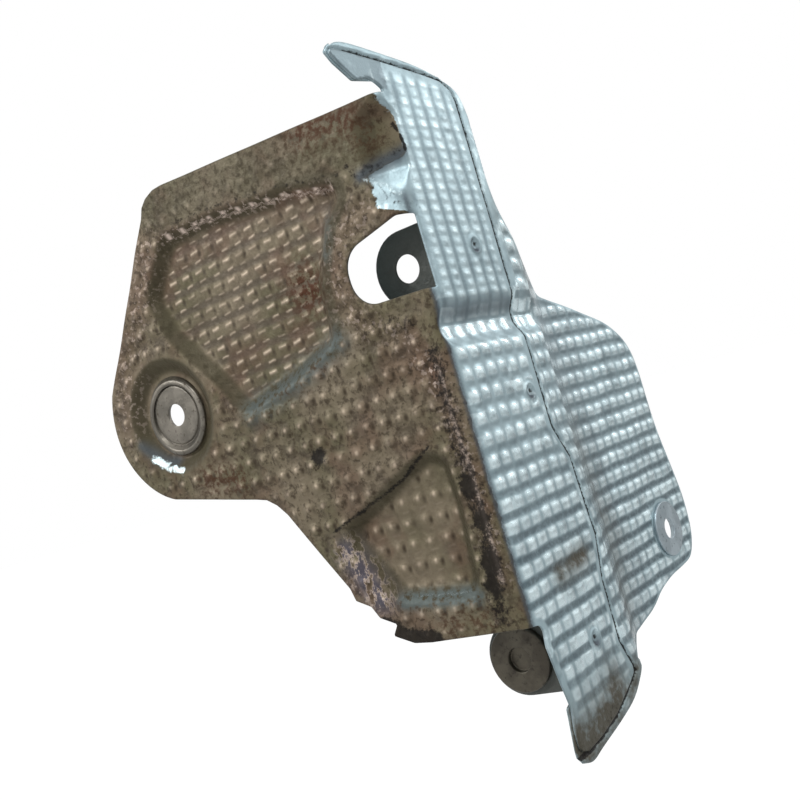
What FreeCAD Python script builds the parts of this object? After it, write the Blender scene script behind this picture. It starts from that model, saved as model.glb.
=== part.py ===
import FreeCAD, Part
import math
import os
from FreeCAD import Vector as V

# Engine bay heat shield: two embossed sheets lapped and clinched, with three eyelets.
# Frame in mm: X along the face panel, Y into the depth, Z up along the fold.
# The sheets are drawn with the face panel at zero depth. The part is then moved so that
# the origin is on the seat bore, where a bolt head bears.

SHEET = 1.0            # thickness of both sheets
LAP_GAP = 0.05         # clearance between the two sheets in the lap
FOLD_X = 108.0         # from the seat bore to the outside of the strip
FOLD_R = 4.0           # outside radius of the fold
FACE_TOP = 62.0        # height of the face panel at the fold
FACE_FOOT = -84.0      # foot of the face panel
SEAM_Y = 38.3          # depth of the strip at the seam
LIP = 4.8              # width of the hemmed lip past the seam
SEAM_GAP = 0.9         # open groove between the strip edge and the lip
POCKET_DEPTH = 3.4     # depth of the two pressed pockets
POCKET_RUN = 4.2       # run of a pocket wall, seen square on
POCKET_R = 6.5         # corner radius of a pocket at its brim
GROOVE_DEPTH = 3.0     # depth of the stiffening groove across the strip
GROOVE_TOP = 5.5       # upper brim of the groove
GROOVE_FOOT = -9.5     # lower brim of the groove
GROOVE_FLAT = 3.0      # width of the groove floor
BOWL_R = 17.5          # brim radius of the bowl about the seat bore
BOWL_FLOOR_R = 13.6    # floor radius of the bowl
BOWL_DEPTH = 3.0       # depth of the bowl
LOBE_R = 26.8          # radius of the lobe of the face about the seat bore
WALL_Y = 50.0          # depth at which the rear sheet steps inward
VALLEY_Y = 66.0        # depth at which the step ends and the rear panel starts
VALLEY_IN = 7.8        # set back of the rear panel there from the strip
PANEL_Y = 126.9        # depth of the far edge of the rear panel
PANEL_IN = 6.58        # set back of the rear panel at its far edge
BEND_R = 12.0          # radius of the two bends of the step
LUG_Y = 12.0           # front of both lugs behind the face
LUG_IN = 15.0          # from the strip face to the lug holes
LUG_BEND_R = 2.5       # outside radius of a lug bend
LUG_HOLE_R = 4.0       # hole of the window lug
WINDOW_LUG_Z = 17.6    # height of the window lug hole
LUG_DROP = 10.5        # from the foot of the face down to the lower lug eyelet
LUG_R = 10.8           # end radius of a lug
FLANGE_Y = 17.0        # front edge of the hidden flange of the rear sheet
GROOVE_END = 8.0       # run of the groove into the step of the rear sheet
WRAP = 1.0             # run of the strip past the fold at which the ears start
GUSSET_FACE = 11.0     # width of the pressed gusset on the face, across the fold
GUSSET_STRIP = 6.0     # width of the gusset on the strip
GUSSET_TOP = 57.0      # top of the floor of the gusset
GUSSET_FOOT = 42.0     # foot of the floor of the gusset
GUSSET_RISE = 1.1      # slope of its upper end
GUSSET_FALL = 0.62     # slope of its lower end
BORE_R = 3.5           # bore of an eyelet
BARREL = 0.8           # barrel wall of an eyelet
EYE_R = 9.5            # flange radius of an eyelet
EYE_RISE = 1.0         # height of the flange of the panel eyelet
BLIND_RISE = 1.7       # height of the flange of the lower lug eyelet
CUP_R = 12.8           # rim radius of the cupped eyelet on the seat
CUP_RIM = 2.4          # width of its raised rim
CUP_RISE = 2.0         # height of its rim over the bowl floor
CUP_FLOOR = 0.8        # height of its floor over the bowl floor
EYE_BACK_R = 6.5       # rolled flange behind the sheet
EYE_BACK = 0.8         # thickness of the rolled flange
EYE_GAP = 0.1          # clearance of an eyelet barrel in its hole
BLIND_SINK = 1.5       # depth of the closed middle of the lower lug eyelet
PANEL_EYE_IN = 20.0    # from the far edge of the rear panel to its eyelet
PANEL_EYE_Z = -83.1    # height of the rear panel eyelet
CLINCH_R = 1.9         # radius of a clinch dent
CLINCH_DEPTH = 0.6     # depth of a clinch dent
PITCH = 5.87           # pitch of the embossing along its rows
ROW_RISE = 6.0         # pitch from row to row
REAR_PITCH = 5.7       # pitch of the rear sheet, both ways
DIMPLE = 0.6           # height of a dimple over the sheet
DIMPLE_FOOT = 0.1      # height of the valleys between dimples
DIMPLE_SINK = 0.5      # depth to which the dimples are rooted in the sheet
PLAIN_RIM = 4.0        # plain rim along the edges of the face
PLAIN_SEAM = 1.5       # plain rim along the edges of the strip and the rear sheet
PLAIN_BRIM = 1.0       # plain rim about a pocket, a bowl, a clinch or an eyelet
BEND_CLEAR = 3.0       # plain run beside a bend
LUG_ROOT = 3.0         # run of a lug into the flange
LOBE_STEP = 14         # turn between the points that keep dimples off the lobe, in degrees
OVERCUT = 1.0          # run of a pressing or cutting tool past the sheet
DEEP = PANEL_Y / 2     # size of the blocks used as formers
LOWER_LUG_Z = FACE_FOOT - LUG_DROP
PANEL_EYE_Y = PANEL_Y - PANEL_EYE_IN

# Brims of the two pockets in the face, as X from the strip and Z
UPPER_POCKET = [(-91.5, 52.5), (-71.5, 53), (-40.5, 49.5), (-17.5, 44.5), (-28.5, 34), (-36, 20),
                (-36.5, 4), (-53.5, -2.5), (-78.5, -8), (-86, 4), (-101, 23), (-105, 36)]
LOWER_POCKET = [(-56.5, -47.5), (-19.5, -31), (-12, -35), (-11, -50), (-13.5, -74.5), (-41.5, -71.5)]
# Window in the face, from the strip to its round end
WINDOW = [(12, 26.6), (-6, 30), (-17, 28.2), (-26, 25.2), (-26, 10.4), (-14, 10.2), (12, 7.4)]
WINDOW_R = 8.0         # corner radius of the window
WINDOW_END = 2.2       # depth to which the window runs round the fold
# Outline of the face, from the top corner by the lobe to the torn lower left edge
LOBE_TURN = (152, 250)
TOP_CORNER = [(-84.5, 66.6), (-92.5, 65), (-96.5, 60)]
ELBOW = [(-83.5, -32.2), (-77.1, -34.8), (-73, -39)]
TORN = [(-57.8, -64.2), (-56.9, -68), (-52.1, -70.5), (-50.1, -74.1), (-44.7, -76.7), (-47, -79.8),
        (-40.4, -82.8), (-34.5, -83.4)]
# Front edge of the ear and of the foot plate, as Y and the height over the face or under it
EAR = [(1.5, 2.2), (-1.5, 3.2), (-7, 2), (-12.6, 6), (-15.2, 8.6)]
FOOT = [(4.5, -35.5), (5, -29.2), (6.4, -24), (5, -17), (3.2, -6)]
# Edge of the strip at the seam, over the face, beside it and under it
SEAM_TOP = [(-9.5, 9.6), (4.3, 8.7), (23.5, 7.1), (33, 5.9), (37.3, 3.5)]
SEAM_SIDE = [(SEAM_Y, 0), (SEAM_Y, -36), (43.4, -46), (44.8, -70)]
SEAM_FOOT = [(41, 1), (40.5, -17.4), (45, -27.8), (38.9, -30.4), (27.9, -34.5), (17.1, -36.4), (8.5, -37)]
# Outer edge of the rear sheet, over the face, beside the strip, round the panel and under the face
REAR_TOP = [(-15.6, 9.2), (-12.1, 11.6), (-7.4, 12.2), (1.9, 11.5), (24.6, 9.3), (38.1, 5.1), (41.7, 2)]
REAR_SIDE = [(43.6, 55), (45, 33), (48.4, 24.7), (53.7, 15.4), (63.5, 4.8), (75.5, 1.2)]
PANEL_EDGE = [(-35.3, -3.6), (-19.6, -8.9), (-9.8, -15.7), (-5.9, -24), (-5.3, -49.7), (-3, -61.8),
              (0, -75.5), (-1.4, -88.8), (-7.1, -96.6), (-15.2, -97.7), (-25.5, -98.2), (-36.4, -100.2)]
REAR_FOOT = [(82.3, -19.9), (69.5, -22.2), (52.2, -24.6), (49, -29.4), (40.1, -34.9), (28.1, -37.3),
             (15.4, -39.1), (9.2, -40.4), (4, -38.5)]
# Hidden front edge of the rear sheet under the face, and over it
FLANGE_FOOT = [(4, -35), (6, -24), (FLANGE_Y, -20)]
FLANGE_TOP = [(FLANGE_Y, -2), (2, 3.2), (-7, 2.4), (-13, 6.4)]
CLINCHES = [(26, 19.3), (32.4, -24.4), (28, -96.2)]
# Place of one dimple in each field of the embossing
UPPER_START = (25.27, 37.77)
MIDDLE_START = (78.82, 2.26)
LOWER_START = (62.83, -50.56)
STRIP_TOP_START = (12.03, 55.0)
STRIP_FOOT_START = (15.96, -45.75)
PANEL_START = (101.5, -47.2)


def from_strip(points):
    """Points given as X from the strip, moved to the frame of the part."""
    return [(FOLD_X + x, z) for x, z in points]


def over(points, height):
    """Points given from a height, moved to the frame of the part."""
    return [(y, height + z) for y, z in points]


def seam_path():
    """Edge of the strip at the seam, from the top ear to the foot."""
    return over(SEAM_TOP, FACE_TOP) + [(SEAM_Y, FACE_TOP)] + SEAM_SIDE + over(SEAM_FOOT, FACE_FOOT)


def rear_edge():
    """Outer edge of the rear sheet, from the tip of the top ear to the foot."""
    panel = [(PANEL_Y + y, z) for y, z in PANEL_EDGE]
    return over(REAR_TOP, FACE_TOP) + REAR_SIDE + panel + over(REAR_FOOT, FACE_FOOT)


def face_wire(points, y):
    """A closed wire of straight runs in a plane of constant Y."""
    ring = [V(x, y, z) for x, z in points]
    return Part.makePolygon(ring + ring[:1])


def face_prism(points, y0, y1):
    """A prism along Y from a closed outline in X and Z."""
    return Part.Face(face_wire(points, y0)).extrude(V(0, y1 - y0, 0))


def side_prism(points, x0, x1):
    """A prism along X from a closed outline in Y and Z."""
    ring = [V(x0, y, z) for y, z in points]
    return Part.Face(Part.makePolygon(ring + ring[:1])).extrude(V(x1 - x0, 0, 0))


def area_sign(points):
    """One for an outline that runs anticlockwise, minus one otherwise."""
    total = 0.0
    for i, (a, b) in enumerate(points):
        c, d = points[(i + 1) % len(points)]
        total += a * d - c * b
    return 1.0 if total > 0 else -1.0


def offset_points(points, grow):
    """Corner points of an outline moved outward square to each side."""
    turn = area_sign(points)
    out = []
    n = len(points)
    for i in range(n):
        p, q, r = points[i - 1], points[i], points[(i + 1) % n]
        a = (q[0] - p[0], q[1] - p[1])
        b = (r[0] - q[0], r[1] - q[1])
        la, lb = math.hypot(*a), math.hypot(*b)
        na = (turn * a[1] / la, -turn * a[0] / la)
        nb = (turn * b[1] / lb, -turn * b[0] / lb)
        k = grow / (1.0 + na[0] * nb[0] + na[1] * nb[1])
        out.append((q[0] + k * (na[0] + nb[0]), q[1] + k * (na[1] + nb[1])))
    return out


def round_corners(points, radius, grow, place):
    """A closed wire with round corners, kept concentric as the outline grows."""
    turn = area_sign(points)
    moved = offset_points(points, grow)
    n = len(points)
    edges = []
    last = None
    first = None
    for i in range(n):
        p, q, r = moved[i - 1], moved[i], moved[(i + 1) % n]
        a = (q[0] - p[0], q[1] - p[1])
        b = (r[0] - q[0], r[1] - q[1])
        la, lb = math.hypot(*a), math.hypot(*b)
        bend = (a[0] * b[1] - a[1] * b[0]) * turn
        angle = math.acos((a[0] * b[0] + a[1] * b[1]) / la / lb)
        rad = radius + grow if bend > 0 else radius - grow
        cut = rad * math.tan(angle / 2)
        s = (q[0] - a[0] / la * cut, q[1] - a[1] / la * cut)
        e = (q[0] + b[0] / lb * cut, q[1] + b[1] / lb * cut)
        h = (1 / math.cos(angle / 2) - 1) * rad
        mx, my = (s[0] + e[0]) / 2 - q[0], (s[1] + e[1]) / 2 - q[1]
        lm = math.hypot(mx, my)
        m = (q[0] + mx / lm * h, q[1] + my / lm * h)
        if last is None:
            first = s
        else:
            edges.append(Part.makeLine(place(last), place(s)))
        edges.append(Part.Arc(place(s), place(m), place(e)).toShape())
        last = e
    edges.append(Part.makeLine(place(last), place(first)))
    return Part.Wire(edges)


def pocket(points, back):
    """A pressed pocket as a solid, for the surface that lies a sheet depth back."""
    steep = math.hypot(POCKET_RUN, POCKET_DEPTH)
    side = back * (steep - POCKET_RUN) / POCKET_DEPTH
    slope = POCKET_RUN / POCKET_DEPTH
    brim = round_corners(points, POCKET_R, side + OVERCUT * slope,
                         lambda p: V(p[0], back - OVERCUT, p[1]))
    floor = round_corners(points, POCKET_R, side - POCKET_RUN,
                          lambda p: V(p[0], back + POCKET_DEPTH, p[1]))
    return Part.makeLoft([brim, floor], True, True)


def bowl(back):
    """The bowl about the seat bore, for the surface a sheet depth back."""
    run = BOWL_R - BOWL_FLOOR_R
    side = back * (math.hypot(run, BOWL_DEPTH) - run) / BOWL_DEPTH
    brim = BOWL_R + side + OVERCUT * run / BOWL_DEPTH
    return Part.makeCone(brim, BOWL_FLOOR_R + side, BOWL_DEPTH + OVERCUT, V(0, back - OVERCUT, 0),
                         V(0, 1, 0))


def groove(back, y0, y1):
    """The stiffening groove across the strip, for the surface a sheet depth back."""
    run = (GROOVE_TOP - GROOVE_FOOT - GROOVE_FLAT) / 2
    side = back * (math.hypot(run, GROOVE_DEPTH) - run) / GROOVE_DEPTH
    out = side + OVERCUT * run / GROOVE_DEPTH
    x0 = FOLD_X - back + OVERCUT
    x1 = FOLD_X - back - GROOVE_DEPTH
    ring = [(x0, GROOVE_TOP + out), (x0, GROOVE_FOOT - out), (x1, GROOVE_FOOT + run - side),
            (x1, GROOVE_TOP - run + side)]
    return face_prism(ring, y0, y1)


def gusset(back):
    """The gusset pressed in across the fold, for the surface a sheet depth back."""
    size = math.hypot(GUSSET_FACE, GUSSET_STRIP)
    out = V(GUSSET_STRIP / size, -GUSSET_FACE / size, 0)
    along = V(GUSSET_FACE / size, GUSSET_STRIP / size, 0)
    high = 2 * FOLD_R
    fall = math.hypot(1, GUSSET_FALL)
    rise = math.hypot(1, GUSSET_RISE)
    ring = [(GUSSET_FOOT - back * (fall - 1) / GUSSET_FALL, -back),
            (GUSSET_TOP + back * (rise - 1) / GUSSET_RISE, -back),
            (GUSSET_TOP + (high + back * rise) / GUSSET_RISE, high),
            (GUSSET_FOOT - (high + back * fall) / GUSSET_FALL, high)]
    start = V(FOLD_X - GUSSET_FACE, 0, 0) - along * size
    pts = [start + out * q + V(0, 0, z) for z, q in ring]
    return Part.Face(Part.makePolygon(pts + pts[:1])).extrude(along * size * 3)


def is_inside(a, b, outline):
    """Whether a point lies inside a closed outline."""
    found = False
    for (p, q), (r, t) in zip(outline, outline[1:] + outline[:1]):
        if (q > b) != (t > b) and a < p + (b - q) * (r - p) / (t - q):
            found = not found
    return found


def gap_to(a, b, outline):
    """Distance of a point from a closed outline."""
    best = DEEP
    for (p, q), (r, t) in zip(outline, outline[1:] + outline[:1]):
        run, rise = r - p, t - q
        share = ((a - p) * run + (b - q) * rise) / (run * run + rise * rise)
        share = min(1.0, max(0.0, share))
        best = min(best, math.hypot(a - p - share * run, b - q - share * rise))
    return best


def within(a, b, outline, rim):
    """Whether a point lies inside an outline and at least a rim from it."""
    return is_inside(a, b, outline) and gap_to(a, b, outline) > rim


def apart(a, b, outline, rim):
    """Whether a point lies outside an outline and at least a rim from it."""
    return not is_inside(a, b, outline) and gap_to(a, b, outline) > rim


def cells_in(field, rule):
    """Cells of a field whose corners keep a rule, without cells that only meet at a corner."""
    start, along, rise = field
    reach = int(2 * DEEP / along)
    cells = set()
    for i in range(-reach, reach + 1):
        for j in range(-reach, reach + 1):
            a = start[0] + i * along
            b = start[1] + j * rise
            if rule(a, b) and all(rule(a + s * along / 2, b + t * rise / 2)
                                  for s in (-1, 1) for t in (-1, 1)):
                cells.add((i, j))
    loose = True
    while loose:
        loose = [(i, j) for i, j in cells for s in (-1, 1)
                 if (i + s, j + 1) in cells and (i + s, j) not in cells and (i, j + 1) not in cells]
        cells.difference_update(loose[:1])
    return cells


def islands(cells):
    """The cells in groups that hang together side by side."""
    left = set(cells)
    groups = []
    while left:
        todo = [left.pop()]
        group = set(todo)
        while todo:
            i, j = todo.pop()
            for other in ((i + 1, j), (i - 1, j), (i, j + 1), (i, j - 1)):
                if other in left:
                    left.remove(other)
                    group.add(other)
                    todo.append(other)
        groups.append(group)
    return groups


def flat_face(points):
    """A flat face on its corners."""
    return Part.Face(Part.makePolygon(points + points[:1]))


def pyramids(group, field, place):
    """Dimples edge to edge over one group of cells, rooted in the sheet."""
    start, along, rise = field

    def corner(i, j, h):
        return place(start[0] + (i - 0.5) * along, start[1] + (j - 0.5) * rise, h)

    faces = []
    for i, j in group:
        peak = place(start[0] + i * along, start[1] + j * rise, DIMPLE)
        ring = [(i, j), (i + 1, j), (i + 1, j + 1), (i, j + 1)]
        beside = [(i, j - 1), (i + 1, j), (i, j + 1), (i - 1, j)]
        for k in range(4):
            p, q = ring[k], ring[(k + 1) % 4]
            foot = [corner(*p, DIMPLE_FOOT), corner(*q, DIMPLE_FOOT)]
            faces.append(flat_face(foot + [peak]))
            if beside[k] not in group:
                faces.append(flat_face(foot + [corner(*q, -DIMPLE_SINK), corner(*p, -DIMPLE_SINK)]))
        faces.append(flat_face([corner(*p, -DIMPLE_SINK) for p in ring]))
    solid = Part.Solid(Part.Shell(faces))
    return solid if solid.Volume > 0 else solid.reversed()


def embossing(start, rule, place, along=PITCH, rise=ROW_RISE):
    """All dimples of one field."""
    field = (start, along, rise)
    return [pyramids(group, field, place) for group in islands(cells_in(field, rule))]


def front_dimples():
    """The dimples of the face, of the pocket floors and of the strip."""
    upper = from_strip(UPPER_POCKET)
    lower = from_strip(LOWER_POCKET)
    window = from_strip(WINDOW)
    lobe = [(LOBE_R * math.cos(math.radians(t)), LOBE_R * math.sin(math.radians(t)))
            for t in range(LOBE_TURN[0], LOBE_TURN[1] + 1, LOBE_STEP)]
    face = from_strip(TOP_CORNER) + lobe + from_strip(ELBOW + TORN)
    face += [(FOLD_X, FACE_FOOT), (FOLD_X, FACE_TOP)]
    strip = [(FOLD_R, FACE_TOP)] + seam_path()[len(SEAM_TOP):] + over(FOOT, FACE_FOOT)
    end = FOLD_X - FOLD_R
    brow = GUSSET_FOOT - 2 * FOLD_R

    def on_face(x, z):
        if x > end - BEND_CLEAR or z > GUSSET_TOP or math.hypot(x, z) < BOWL_R + PLAIN_BRIM:
            return False
        if z > brow and x > FOLD_X - GUSSET_FACE - BEND_CLEAR:
            return False
        clear = apart(x, z, upper, PLAIN_BRIM) and apart(x, z, lower, PLAIN_BRIM)
        return clear and apart(x, z, window, PLAIN_SEAM) and within(x, z, face, PLAIN_RIM)

    def on_strip(y, z):
        if y < FOLD_R + PLAIN_SEAM or (z > brow and y < GUSSET_STRIP + BEND_CLEAR):
            return False
        if any(math.hypot(y - p, z - q) < CLINCH_R + PLAIN_BRIM for p, q in CLINCHES):
            return False
        return within(y, z, strip, PLAIN_SEAM)

    def over_groove(y, z):
        return z > GROOVE_TOP + PLAIN_BRIM and on_strip(y, z)

    def under_groove(y, z):
        return z < GROOVE_FOOT - PLAIN_BRIM and on_strip(y, z)

    def floor_place(x, z, h):
        return V(x, POCKET_DEPTH - h, z)

    def strip_place(y, z, h):
        return V(FOLD_X + h, y, z)

    rim = POCKET_RUN + PLAIN_BRIM / 2
    out = embossing(MIDDLE_START, on_face, lambda x, z, h: V(x, -h, z))
    out += embossing(UPPER_START, lambda x, z: within(x, z, upper, rim), floor_place)
    out += embossing(LOWER_START, lambda x, z: within(x, z, lower, rim), floor_place)
    out += embossing(STRIP_TOP_START, over_groove, strip_place)
    out += embossing(STRIP_FOOT_START, under_groove, strip_place)
    return out


def rear_dimples():
    """The dimples of the panel of the rear sheet."""
    edge = rear_edge()
    slope = panel_slope()

    def on_panel(y, z):
        if y < VALLEY_Y + BEND_CLEAR:
            return False
        eye = math.hypot(y - PANEL_EYE_Y, z - PANEL_EYE_Z)
        return eye > EYE_R + PLAIN_BRIM and within(y, z, edge, PLAIN_SEAM)

    def panel_place(y, z, h):
        k = h / math.hypot(1, slope)
        return V(FOLD_X - VALLEY_IN + slope * (y - VALLEY_Y) + k, y - k * slope, z)

    return embossing(PANEL_START, on_panel, panel_place, REAR_PITCH, REAR_PITCH)


def fold_former(back):
    """The corner block that the front sheet is pressed on, a sheet depth back."""
    high = FACE_TOP - FACE_FOOT + 2 * DEEP
    block = Part.makeBox(FOLD_X + DEEP - back, DEEP, high, V(-DEEP, back, FACE_FOOT - DEEP))
    edge = [e for e in block.Edges if abs(e.CenterOfMass.x - FOLD_X + back) < 1e-6
            and abs(e.CenterOfMass.y - back) < 1e-6]
    block = block.makeFillet(FOLD_R - back, edge)
    tools = [pocket(from_strip(UPPER_POCKET), back), pocket(from_strip(LOWER_POCKET), back), bowl(back),
             gusset(back), groove(back, -DEEP, 2 * DEEP)]
    return block.cut(tools)


def arc_through(points, y):
    """An arc through three points in a plane of constant Y."""
    return Part.Arc(*[V(x, y, z) for x, z in points]).toShape()


def face_outline():
    """The outline of the face panel as a face just in front of it."""
    y = -OVERCUT
    lobe = []
    for turn in (LOBE_TURN[0], sum(LOBE_TURN) / 2, LOBE_TURN[1]):
        a = math.radians(turn)
        lobe.append((LOBE_R * math.cos(a), LOBE_R * math.sin(a)))
    corner = from_strip(TOP_CORNER)
    elbow = from_strip(ELBOW)
    near = FOLD_X + OVERCUT
    runs = [[(near, FACE_TOP), corner[0]], [corner[-1], lobe[0]], [lobe[-1], elbow[0]]]
    runs.append([elbow[-1]] + from_strip(TORN) + [(near, FACE_FOOT), (near, FACE_TOP)])
    edges = [arc_through(corner, y), arc_through(lobe, y), arc_through(elbow, y)]
    for run in runs:
        for (a, b), (c, d) in zip(run, run[1:]):
            edges.append(Part.makeLine(V(a, y, b), V(c, y, d)))
    return Part.Face(Part.Wire(Part.__sortEdges__(edges)))


def front_sheet():
    """Face panel, fold and strip in one folded sheet with its two ears."""
    shell = fold_former(0).cut(fold_former(SHEET))
    turn_y = FOLD_R + WRAP
    seam = seam_path()
    top = len(SEAM_TOP)
    last = top + 1 + len(SEAM_SIDE)
    low_y = seam[last][0]
    face_zone = face_outline().extrude(V(0, turn_y + OVERCUT, 0))
    zone = [(turn_y, FACE_TOP)] + seam[top:last] + [(low_y, FACE_FOOT), (turn_y, FACE_FOOT)]
    strip_zone = side_prism(zone, FOLD_X - 2 * FOLD_R, FOLD_X + OVERCUT)
    body = shell.common(face_zone.fuse(strip_zone))
    ear = [(turn_y, FACE_TOP)] + over(EAR, FACE_TOP) + seam[:top + 1]
    foot = [(turn_y, FACE_FOOT), (low_y, FACE_FOOT)] + seam[last + 1:] + over(FOOT, FACE_FOOT)
    for plate in (ear, foot):
        body = body.fuse(side_prism(plate, FOLD_X - SHEET, FOLD_X))
    frame = round_corners(from_strip(WINDOW), WINDOW_R, 0, lambda p: V(p[0], -DEEP, p[1]))
    cuts = [Part.Face(frame).extrude(V(0, DEEP + WINDOW_END, 0))]
    hole = BORE_R + BARREL + EYE_GAP
    cuts.append(Part.makeCylinder(hole, DEEP, V(0, -DEEP / 2, 0), V(0, 1, 0)))
    for y, z in CLINCHES:
        cuts.append(Part.makeCylinder(CLINCH_R, DEEP, V(FOLD_X - CLINCH_DEPTH, y, z), V(1, 0, 0)))
    return body.cut(cuts).fuse(front_dimples()).removeSplitter()


def rear_profile(back):
    """The region inside the rear sheet, a depth back from its outside."""
    x0 = FOLD_X - SHEET - LAP_GAP
    far = PANEL_Y + BEND_R
    slope = panel_slope()
    end = FOLD_X - PANEL_IN + slope * BEND_R
    path = [(x0, -DEEP), (x0, WALL_Y), (FOLD_X - VALLEY_IN, VALLEY_Y), (end, far)]
    ring = path + [(-DEEP, far), (-DEEP, -DEEP)]
    moved = offset_points(ring, -back)
    moved[0] = (moved[0][0], -DEEP)
    moved[3] = (moved[3][0] + (far - moved[3][1]) * slope, far)
    edges = []
    flat = [V(x, y, -DEEP * 3) for x, y in moved[:4]]
    start = flat[0]
    for i in (1, 2):
        p, q, r = flat[i - 1], flat[i], flat[i + 1]
        a = (q - p).normalize()
        b = (r - q).normalize()
        angle = a.getAngle(b)
        rad = BEND_R - back if i == 1 else BEND_R + back
        cut = rad * math.tan(angle / 2)
        s = q - a * cut
        e = q + b * cut
        m = q + (s + e - q * 2).normalize() * (1 / math.cos(angle / 2) - 1) * rad
        edges.append(Part.makeLine(start, s))
        edges.append(Part.Arc(s, m, e).toShape())
        start = e
    tail = [start, flat[3], V(-DEEP, far, -DEEP * 3), V(-DEEP, -DEEP, -DEEP * 3), flat[0]]
    for p, q in zip(tail, tail[1:]):
        edges.append(Part.makeLine(p, q))
    return Part.Face(Part.Wire(edges)).extrude(V(0, 0, DEEP * 5))


def rear_former(back):
    """The block that the rear sheet is pressed on, with the nested groove."""
    return rear_profile(back).cut(groove(SHEET + LAP_GAP + back, -DEEP, WALL_Y + GROOVE_END))


def lug(z, hole_r):
    """A lug bent inward from the flange, with a round end about its hole."""
    x1 = FOLD_X - SHEET - LAP_GAP
    y0 = LUG_Y
    hx = FOLD_X - LUG_IN
    end = hx - LUG_R
    r = LUG_BEND_R
    k = r * (1 - math.sqrt(0.5))
    i = r - SHEET
    j = SHEET + i * (1 - math.sqrt(0.5))
    y1 = FLANGE_Y + LUG_ROOT
    base = z - LUG_R
    out = [V(end, y0, base), V(x1 - r, y0, base), V(x1, y0 + r, base), V(x1, y1, base)]
    ins = [V(x1 - SHEET, y1, base), V(x1 - SHEET, y0 + r, base), V(x1 - r, y0 + SHEET, base),
           V(end, y0 + SHEET, base)]
    edges = [Part.makeLine(out[0], out[1]), Part.Arc(out[1], V(x1 - k, y0 + k, base), out[2]).toShape()]
    edges += [Part.makeLine(out[2], out[3]), Part.makeLine(out[3], ins[0]), Part.makeLine(ins[0], ins[1])]
    edges.append(Part.Arc(ins[1], V(x1 - j, y0 + j, base), ins[2]).toShape())
    edges += [Part.makeLine(ins[2], ins[3]), Part.makeLine(ins[3], out[0])]
    bar = Part.Face(Part.Wire(edges)).extrude(V(0, 0, 2 * LUG_R))
    keep = Part.makeCylinder(LUG_R, DEEP, V(hx, y0 - OVERCUT, z), V(0, 1, 0))
    keep = keep.fuse(Part.makeBox(LUG_IN, DEEP, 2 * LUG_R, V(hx, y0 - OVERCUT, base)))
    bore = Part.makeCylinder(hole_r, DEEP, V(hx, y0 - OVERCUT, z), V(0, 1, 0))
    return bar.common(keep).cut(bore)


def panel_slope():
    """Slope at which the rear panel comes out again past the step."""
    return (VALLEY_IN - PANEL_IN) / (PANEL_Y - VALLEY_Y)


def panel_axis():
    """Foot point and outward direction of the rear panel eyelet."""
    slope = panel_slope()
    x = FOLD_X - VALLEY_IN + slope * (PANEL_EYE_Y - VALLEY_Y)
    return V(x, PANEL_EYE_Y, PANEL_EYE_Z), V(1, -slope, 0).normalize()


def hem(keep):
    """The hem folded back along the seam, level with the strip and inside an outline."""
    path = seam_path()
    ring = path + [(-DEEP, path[-1][1]), (-DEEP, path[0][1])]
    inner = offset_points(ring, SEAM_GAP)[:len(path)]
    outer = offset_points(ring, LIP)[:len(path)]
    plate = side_prism(inner + outer[::-1], FOLD_X - SHEET - LAP_GAP, FOLD_X)
    return plate.common(keep).cut(groove(0, SEAM_Y - 2 * LIP, WALL_Y + GROOVE_END))


def rear_sheet():
    """Hidden flange, lip, step and rear panel in one sheet with two lugs."""
    shell = rear_former(0).cut(rear_former(SHEET))
    edge = rear_edge() + over(FLANGE_FOOT, FACE_FOOT) + over(FLANGE_TOP, FACE_TOP)
    keep = side_prism(edge, FOLD_X - 2 * VALLEY_IN, FOLD_X + OVERCUT)
    body = shell.common(keep).fuse(hem(keep))
    hole = BORE_R + BARREL + EYE_GAP
    body = body.fuse([lug(WINDOW_LUG_Z, LUG_HOLE_R), lug(LOWER_LUG_Z, hole)])
    foot, axis = panel_axis()
    body = body.cut(Part.makeCylinder(hole, 2 * VALLEY_IN, foot - axis * VALLEY_IN, axis))
    return body.fuse(rear_dimples()).removeSplitter()


def turned(ring):
    """A solid turned about the Z axis from its profile of radius and height."""
    pts = [V(x, 0, z) for x, z in ring]
    return Part.Face(Part.makePolygon(pts + pts[:1])).revolve(V(0, 0, 0), V(0, 0, 1), 360)


def eye_back(inner):
    """Profile of an eyelet behind its flange, from the sheet to an inner radius."""
    b = BORE_R + BARREL
    return [(b, 0), (b, -SHEET), (EYE_BACK_R, -SHEET), (EYE_BACK_R, -SHEET - EYE_BACK),
            (inner, -SHEET - EYE_BACK)]


def eyelet():
    """A pressed eyelet about the Z axis, with its seat plane at zero height."""
    return turned([(BORE_R, EYE_RISE), (EYE_R, EYE_RISE), (EYE_R, 0)] + eye_back(BORE_R))


def blind_eyelet():
    """The eyelet of the lower lug, with a closed sunk middle."""
    floor = BLIND_RISE - BLIND_SINK
    return turned([(0, floor), (BORE_R, floor), (BORE_R, BLIND_RISE), (EYE_R, BLIND_RISE), (EYE_R, 0)]
                  + eye_back(0))


def cupped_eyelet():
    """The eyelet of the seat, with a raised rim about a sunk floor."""
    well = CUP_R - CUP_RIM
    return turned([(BORE_R, CUP_FLOOR), (well - (CUP_RISE - CUP_FLOOR) / 2, CUP_FLOOR), (well, CUP_RISE),
                   (CUP_R, CUP_RISE), (CUP_R, 0)] + eye_back(BORE_R))


def seated(shape, foot, axis):
    """An eyelet seated at a foot point with its flange along the axis."""
    turn = FreeCAD.Rotation(V(0, 0, 1), axis)
    shape.Placement = FreeCAD.Placement(foot, turn)
    return shape


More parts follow.
